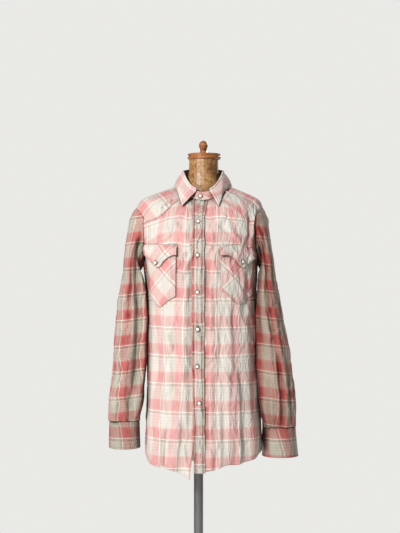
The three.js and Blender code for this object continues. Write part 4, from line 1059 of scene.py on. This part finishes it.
def sleeve_surface(name):
    side, table = sleeve_tables[name]
    turn, loop, middle = armhole_loop(side)
    low = loop[np.argmin(loop[:, 2])]
    first = (0, 2 * middle[0] - low[0], 2 * middle[2] - low[2], low[0], low[2], middle[1], 58, 1)
    rows = np.array([first, *table], dtype=float)

    def surface(s, t):
        # s runs round from the underarm, by the back and the shoulder, to the underarm again
        degrees = 180 + 360 * s
        around = np.radians(degrees)
        ring = t * last_ring
        outer_x, outer_z, inner_x, inner_z, middle_y, deep, arm = np.moveaxis(smooth(rows, ring), -1, 0)
        centre = np.stack([(outer_x + inner_x) / 2, middle_y, (outer_z + inner_z) / 2], -1)
        half = np.stack([(outer_x - inner_x) / 2, 0 * outer_x, (outer_z - inner_z) / 2], -1)
        cosine = np.cos(around)
        sine = np.sin(around)
        square = 2.3
        full = (np.abs(cosine) ** square + np.abs(sine) ** square) ** (-1 / square)
        points = centre + half * (cosine * full)[..., None]
        points[..., 1] -= deep * sine * full
        at = degrees % 360
        hole = np.stack([np.interp(at, turn, loop[:, k], period=360) for k in range(3)], -1)
        points = points * (1 - arm[..., None]) + (hole - middle + centre) * arm[..., None]
        # The viewer's-left sleeve is turned so that its outer edge comes forward
        outer = np.clip(side * (points[..., 0] - centre[..., 0]) / np.abs(half[..., 0]), -1, 1)
        points[..., 1] -= (8 if side < 0 else -2) * outer * ease(2, 6, ring)
        # The inner front edge of each sleeve leans on the body
        lean = np.exp(-(wrapped(at - 142) / 24) ** 2) * ease(1.5, 3, ring) * ease(13, 11, ring)
        points[..., 0] -= side * 11 * lean
        away = unit(points - centre)
        swell = np.zeros_like(outer_x)
        for row, place, out in rumples:
            swell += out * np.exp(-(wrapped(at - place) / 38) ** 2 - ((ring - row) / 0.8) ** 2)
        swell *= ease(13, 12.3, ring)
        # The sleeve's head swells a little beyond its seam, and is puckered by it
        head = 1.8 + 0.9 * np.sin(np.radians(at) * 23 + 1.7 * np.sin(np.radians(at) * 5))
        swell += head * np.exp(-((ring - 0.3) / 0.2) ** 2)
        placed = [
            (start * 0.95, z0, end * 0.95, z1, wide, 1.7 * high)
            for start, z0, end, z1, wide, high in sleeve_creases[name]
        ]
        swell += creases(at * 0.95, points[..., 2], placed) * ease(0.2, 0.8, ring)
        box = ((0, 342), (820, 1360))
        fine = crinkles(at * 0.95, points[..., 2], 41 + side, 1300, box, (1.8, 3.6), (10, 36), 1.0, 0.3)
        fine = fine + crinkles(at * 0.95, points[..., 2], 44 + side, 300, box, (4, 8), (30, 90), 2.4, 0.2)
        # Gathers where the sleeve is pleated into the cuff
        gather = 1.1 * np.sin(np.radians(at) * 17 + 0.8 * np.sin(np.radians(at) * 3)) * ease(11.9, 13, ring)
        points = points + away * (swell + (fine + gather) * ease(0, 0.4, ring))[..., None]
        # The sleeve lies beside the body, a little off it, and further off over the pockets
        over = 4.4 * ease(1085, 1125, points[..., 2]) * ease(-12, -32, points[..., 1])
        limit = body_side(points[..., 1], np.minimum(points[..., 2], 1290), side) + side * (3.6 + over)
        inside = (points[..., 2] < 1290) & (side * (points[..., 0] - limit) < 0)
        push = np.where(inside, limit - points[..., 0], 0) * ease(0, 1, ring)
        points[..., 0] += push
        return points, grid_normals(points, away)
    return surface


# Painted shade: the sleeves' cloth is darkened by its tint, the viewer's-right sleeve most, as if hanging in
# shade
sleeve_patterns = {
    "sleeve_right": dict(up=0.978, tint=(0.86, 0.83, 0.78), repeat=(0.064, 0.0625)),
    "sleeve_left": dict(up=0.976, tint=(0.66, 0.56, 0.5), repeat=(0.064, 0.0655)),
}
sleeve_surfaces = {}
for name, pattern in sleeve_patterns.items():
    side = sleeve_tables[name][0]
    material = plaid("plaid cotton, " + name.replace("_", " "), 0.016, **pattern)
    surface = sleeve_surface(name)
    sleeve_surfaces[name] = surface
    points, normals = surface(*steps(330, 530, 3.2))
    # The pattern runs level round the hanging sleeve, so only the level part of each step counts
    level_step = np.hypot(*np.moveaxis(np.diff(points[..., :2], axis=1), -1, 0))
    round_mm = np.concatenate([np.zeros((len(points), 1)), np.cumsum(level_step, axis=1)], axis=1)
    round_mm = round_mm - round_mm[:, -1:] / 2
    uv = np.stack([side * round_mm, points[..., 2] + 0.12 * np.abs(points[..., 0])], -1) * MM
    made = cloth(name + "_cloth", points, normals, uv, material)
    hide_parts(name)


# Sleeve plackets
# A narrow bound strip of plaid over the slit at the back of each cuff.
for name, side in (("sleeve_right", -1), ("sleeve_left", 1)):
    turn, _, _ = armhole_loop(side)
    first, last = np.interp([3 / 8, 4 / 8], np.linspace(0, 1, 60), turn[180:])
    surface = sleeve_surfaces[name]

    def strip(s, t):
        degrees = first + (last - first) * s
        points, normal = surface(((degrees - 180) % 360) / 360, (12 - 3 * t) / last_ring)
        edge = 0.9 * (1 - np.exp(-(np.minimum(s, 1 - s) / 0.1) ** 2))
        return points + normal * (1.6 + edge)[..., None], normal
    points, normals = strip(*steps(22, 130, 2.0))
    material = plaid("plaid cotton, placket " + name, 0.016, 0.95)
    strip_name = name.replace("sleeve", "sleeve_placket")
    made = cloth(strip_name + "_cloth", points, normals, piece_uv(points), material, thick=1.2)
    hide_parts(strip_name)


# Cuffs
# A double band of plaid with two snaps, fastened, and topstitched round its edges.
cuff_rings = {
    "cuff_right": (-140, [
        (0, -222.4, -144, -51, 27, 764, 765, 764, 2.1), (0.5, -222, -145, -50, 26, 797, 798, 797, 2.1),
        (1, -221.5, -146, -48, 24, 831.7, 831.7, 831.7, 2.1),
    ]),
    "cuff_left": (140, [
        (0, 158, 248, -56, 30, 744, 744, 744, 2.1), (0.5, 158, 244.5, -53, 28, 780, 780, 780, 2.1),
        (1, 158.6, 241, -50, 25, 816.7, 816.7, 816.7, 2.1),
    ]),
}
cuff_surfaces = {}
for name, (start, rings) in cuff_rings.items():
    rings = np.array(rings, dtype=float)
    band = strip_round(rings, start, 386, lambda turned: 2.5 * ease(56, 30, turned))

    def worn(s, t, band=band, name=name):
        points, normal = band(s, t)
        buckle = 0.9 * np.sin(s * 21 + (1 if name == "cuff_left" else 3)) * np.sin(math.pi * t) ** 0.7
        box = ((0, 300), (0, 70))
        fine = crinkles(s * 300, t * 70, 51 + len(name), 130, box, (3, 6), (8, 25), 0.45, 0.25)
        edge = -0.35 * np.exp(-((np.minimum(t, 1 - t) - 0.07) / 0.02) ** 2)
        over = ease(0.03, 0.2, s)
        return points + normal * ((buckle + fine) * over + edge)[..., None], normal
    cuff_surfaces[name] = worn
    points, normals = worn(*steps(300, 70, 2.4))
    # Painted shade: the cuffs' cloth is darkened by its tint, like the sleeves'
    material = plaid("plaid cotton, " + name.replace("_", " "), 0.01, 0.79, tint=(0.68, 0.65, 0.6))
    made = cloth(name + "_cloth", points, normals, piece_uv(points), material, thick=1.8)
    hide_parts(name)


# Snaps
# Pearl-topped snaps: a pressed steel rim, darkened, holding a domed pearly disc.
rim, nodes, links, shader = new_material("snap rim", (0.09, 0.07, 0.055), 0.35, 0.9)
ramp, noise = noise_ramp(nodes, links, 900, [(0.35, (0.05, 0.04, 0.032)), (0.7, (0.16, 0.125, 0.095))])
links.new(ramp.outputs["Color"], shader.inputs["Base Color"])
add_bump(nodes, links, shader, noise.outputs["Fac"], 0.15, 0.0001)
pearl, nodes, links, shader = new_material("snap pearl", (0.75, 0.7, 0.64), 0.2)
shader.inputs["Coat Weight"].default_value = 0.7
shader.inputs["Coat Roughness"].default_value = 0.08
ramp, noise = noise_ramp(
    nodes,
    links,
    300,
    [(0.3, (0.5, 0.44, 0.38)), (0.5, (0.78, 0.74, 0.69)), (0.7, (0.9, 0.88, 0.85))],
    detail=2,
    stretch=(1, 1, 3),
)
links.new(ramp.outputs["Color"], shader.inputs["Base Color"])
add_bump(nodes, links, shader, noise.outputs["Fac"], 0.1, 0.0001)


def frame_along(normal):
    normal = unit(np.asarray(normal, dtype=float))
    side = unit(np.cross(normal, (0, 0, 1)))
    return side, np.cross(side, normal), normal


def dome(name, place, normal, radius=4.1, rise=1.3, rings=5, sides=20):
    side, up, out = frame_along(normal)
    points, faces = [], []
    for r in range(rings):
        share = r / rings
        size = radius * math.cos(share * math.pi / 2) ** 0.8
        for c in range(sides):
            a = 2 * math.pi * c / sides
            points.append(place + side * size * math.cos(a) + up * size * math.sin(a)
                          + out * rise * math.sin(share * math.pi / 2))
    points.append(place + out * rise)
    points.append(place - out * 0.2)
    last = (rings - 1) * sides
    for c in range(sides):
        after = (c + 1) % sides
        for low in range(0, last, sides):
            faces.append((low + c, low + after, low + sides + after, low + sides + c))
        faces.append((last + c, last + after, rings * sides))
        faces.append((after, c, rings * sides + 1))
    mesh = bpy.data.meshes.new(name)
    mesh.from_pydata([tuple(p * MM) for p in points], [], faces)
    mesh.polygons.foreach_set("use_smooth", [True] * len(mesh.polygons))
    mesh.materials.append(pearl)
    made = bpy.data.objects.new(name, mesh)
    bpy.context.scene.collection.objects.link(made)
    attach(made, root)
    return made


# The pearl sits this far above the rim's underside, in millimetres
pearl_seat = 2.6
snap_places = {}
for i, (x, z) in enumerate([(-1, 1320), (-2.5, 1240), (-2.5, 1151), (-1.7, 1061.5), (-3, 972), (2, 884)]):
    snap_places[f"snap_front_{i + 2}"] = (x, z, 2.8)
snap_places["snap_pocket_right"] = (-100, 1222, 5.9)
snap_places["snap_pocket_left"] = (103.5, 1224, 5.9)
for name, (x, z, off) in snap_places.items():
    angle, v = seen_at(x, z)
    normal = body_normal(angle, v)
    dress_node(name, rim, 35)
    dome("pearl_" + name[5:], body_point(angle, v) + normal * (off + pearl_seat), normal)
dress_node("snap_front_1", rim, 35)
normal = unit(np.array([0, -1, 0.15]))
place = ring_point(smooth(stand_rings, 0.5), -6) + np.array([0, -0.9, 0.2])
dome("pearl_front_1", place + normal * pearl_seat, normal)
for name, (start, rings) in cuff_rings.items():
    rings = np.array(rings, dtype=float)
    for i, height_share in enumerate((0.28, 0.72)):
        ring = smooth(rings, height_share)
        # The snaps are near the end of the band, which runs 386 degrees round
        lap = start - 380
        ahead = ring_point(ring, lap + 2) - ring_point(ring, lap - 2)
        normal = unit(np.cross(ahead, (0, 0, 1)))
        place = ring_point(ring, lap) + normal * 0.5
        snap = name.replace("cuff", "snap_cuff") + f"_{i + 1}"
        dress_node(snap, rim, 35)
        dome("pearl_" + snap[5:], place + normal * pearl_seat, normal)


# Stitching
# Single rows of dusty brown thread, about nine stitches to the inch, sunk a little into the cloth.
# The thread's brown is partly its own colour and partly painted shade, darkened to stand for the shade along
# seams and patch edges
thread, nodes, links, shader = new_material("dusty brown thread", (0.26, 0.16, 0.13), 0.75)
ramp, noise = noise_ramp(nodes, links, 2500, [(0.3, (0.17, 0.1, 0.08)), (0.7, (0.34, 0.22, 0.18))])
links.new(ramp.outputs["Color"], shader.inputs["Base Color"])
add_bump(nodes, links, shader, noise.outputs["Fac"], 0.3, 0.0001)


def stitch_row(name, surface, paths, pitch=2.8, thick=0.38, raised=0.1):
    """Stitches along paths of (s, t) on a piece's surface."""
    points, faces = [], []
    for s, t in paths:
        dense = np.linspace(0, 1, 600)
        s = np.interp(dense, np.linspace(0, 1, len(s)), s)
        t = np.interp(dense, np.linspace(0, 1, len(t)), t)
        line, normals = surface(s[None, :], t[None, :])
        line, normals = line[0], unit(normals[0])
        run = cumulative(line[None], 1)[0]
        count = int(run[-1] / pitch)
        for i in range(count):
            at = [pitch * (i + k) for k in (0.08, 0.45, 0.82)]
            a, m, b = (np.array([np.interp(x, run, line[:, k]) for k in range(3)]) for x in at)
            n = unit(np.array([np.interp(at[1], run, normals[:, k]) for k in range(3)]))
            side = unit(np.cross(b - a, n)) * thick
            first = len(points)
            up = n * raised
            points += [a - up, b - up, m + up + n * thick, m + side + up * 0.4, m - side + up * 0.4]
            faces += [(first, first + 3, first + 2), (first + 3, first + 1, first + 2),
                      (first + 1, first + 4, first + 2), (first + 4, first, first + 2),
                      (first, first + 4, first + 1, first + 3)]
    mesh = bpy.data.meshes.new(name)
    mesh.from_pydata([tuple(p * MM) for p in points], [], faces)
    mesh.polygons.foreach_set("use_smooth", [True] * len(mesh.polygons))
    mesh.materials.append(thread)
    made = bpy.data.objects.new(name, mesh)
    bpy.context.scene.collection.objects.link(made)
    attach(made, root)
    return made


def level(t, first=0.0, last=1.0):
    return np.linspace(first, last, 60), np.full(60, t)


def upright(s, first, last):
    return np.full(60, s), np.linspace(first, last, 60)


stitch_row("stitches_hem_back", back_surface, [level(0.012)])
stitch_row("stitches_hem_right", front_right_surface, [level(0.012, 0.02)])
stitch_row("stitches_hem_left", front_left_surface, [level(0.012, 0.08)])
stitch_row("stitches_placket", placket_surface, [upright(0.15, 0.005, 0.985), upright(0.85, 0.005, 0.985)])
for name, surface in (("yoke_front_right", yoke_right_surface), ("yoke_front_left", yoke_left_surface)):
    stitch_row("stitches_" + name, surface, [level(0.05, 0.04)])
stitch_row("stitches_yoke_back", yoke_back_surface, [level(0.03)])
for name, surface in pocket_surfaces.items():
    outline = [upright(0.035, 0.97, 0.035), level(0.035, 0.035, 0.965), upright(0.965, 0.035, 0.97)]
    stitch_row("stitches_" + name, surface, outline)
for name, surface in flap_surfaces.items():
    outline = [
        upright(0.04, 0.9, 0.08), level(0.09, 0.04, 0.96), upright(0.96, 0.08, 0.9), level(0.9, 0.04, 0.96),
    ]
    stitch_row("stitches_" + name, surface, outline)
outline = [level(0.9, 0.015, 0.985), upright(0.015, 0.35, 0.9), upright(0.985, 0.35, 0.9)]
stitch_row("stitches_collar", collar_surface, outline)
stitch_row("stitches_collar_stand", stand_surface, [level(0.08, 0.0, 0.995), level(0.9, 0.9, 0.995)])
for name, surface in cuff_surfaces.items():
    outline = [level(0.07, 0.01, 0.99), level(0.93, 0.01, 0.99), upright(0.985, 0.07, 0.93)]
    stitch_row("stitches_" + name, surface, outline)


# Camera, light and floor
# The camera stands level with the photo's middle, as far off as a room allows.
camera_data = bpy.data.cameras.new("camera")
distance = 3.6
picture_middle_x = 0.0037
picture_middle_z = 1.2126
# Focal length in millimetres for each metre of distance: 1.306 m fills the picture's height
lens_for_each_metre = 27.568
camera_data.sensor_fit = "VERTICAL"
camera_data.sensor_height = 36
camera_data.lens = distance * lens_for_each_metre
camera = bpy.data.objects.new("camera", camera_data)
camera.location = (picture_middle_x, -distance - 0.05, picture_middle_z)
camera.rotation_euler = (math.pi / 2, 0, 0)
bpy.context.scene.collection.objects.link(camera)
bpy.context.scene.camera = camera


def area_light(name, place, aim, size, power, colour):
    data = bpy.data.lights.new(name, "AREA")
    data.shape = "RECTANGLE"
    data.size, data.size_y = size
    data.energy = power
    data.color = colour
    lamp = bpy.data.objects.new(name, data)
    lamp.location = place
    way = np.array(aim, dtype=float) - np.array(place, dtype=float)
    across = math.atan2(way[1], way[0]) - math.pi / 2
    lamp.rotation_euler = (math.pi / 2 + math.atan2(way[2], math.hypot(way[0], way[1])), 0, across)
    bpy.context.scene.collection.objects.link(lamp)


area_light("key", (-1.65, -2.87, 2.6), (0, 0, 1.1), (0.35, 0.35), 164, (1, 0.985, 0.975))
area_light("fill", (0.6, -3.4, 1.5), (0, 0, 1.1), (1.6, 1.8), 6, (1, 0.95, 0.92))
area_light("back", (1.7, 3.0, 2.6), (0, 0, 1.1), (0.8, 0.8), 105, (1, 0.985, 0.97))

# Pale all round, and dimmer as a light than it looks, so that the folds keep their shade
world = bpy.data.worlds.new("studio")
bpy.context.scene.world = world
world.use_nodes = True
nodes, links = world.node_tree.nodes, world.node_tree.links
backdrop = nodes["Background"]
backdrop.inputs["Color"].default_value = (0.82, 0.815, 0.79, 1)
glow = nodes.new("ShaderNodeBackground")
glow.inputs["Color"].default_value = (1, 0.95, 0.89, 1)
glow.inputs["Strength"].default_value = 0.14
ray = nodes.new("ShaderNodeLightPath")
chosen = nodes.new("ShaderNodeMixShader")
links.new(ray.outputs["Is Camera Ray"], chosen.inputs["Fac"])
links.new(glow.outputs[0], chosen.inputs[1])
links.new(backdrop.outputs[0], chosen.inputs[2])
links.new(chosen.outputs[0], nodes["World Output"].inputs["Surface"])
bpy.context.scene.view_settings.view_transform = "Standard"

floor_mesh = bpy.data.meshes.new("floor")
floor_mesh.from_pydata([(-3, -3, 0), (3, -3, 0), (3, 3, 0), (-3, 3, 0)], [], [(0, 1, 2, 3)])
floor = bpy.data.objects.new("floor", floor_mesh)
bpy.context.scene.collection.objects.link(floor)
paper, nodes, links, shader = new_material("pale floor", (0.75, 0.74, 0.71), 0.9)
ramp, noise = noise_ramp(nodes, links, 3, [(0.3, (0.76, 0.755, 0.73)), (0.7, (0.8, 0.795, 0.77))])
links.new(ramp.outputs["Color"], shader.inputs["Base Color"])
links.new(ramp.outputs["Color"], shader.inputs["Emission Color"])
shader.inputs["Emission Strength"].default_value = 0.35
floor_mesh.materials.append(paper)
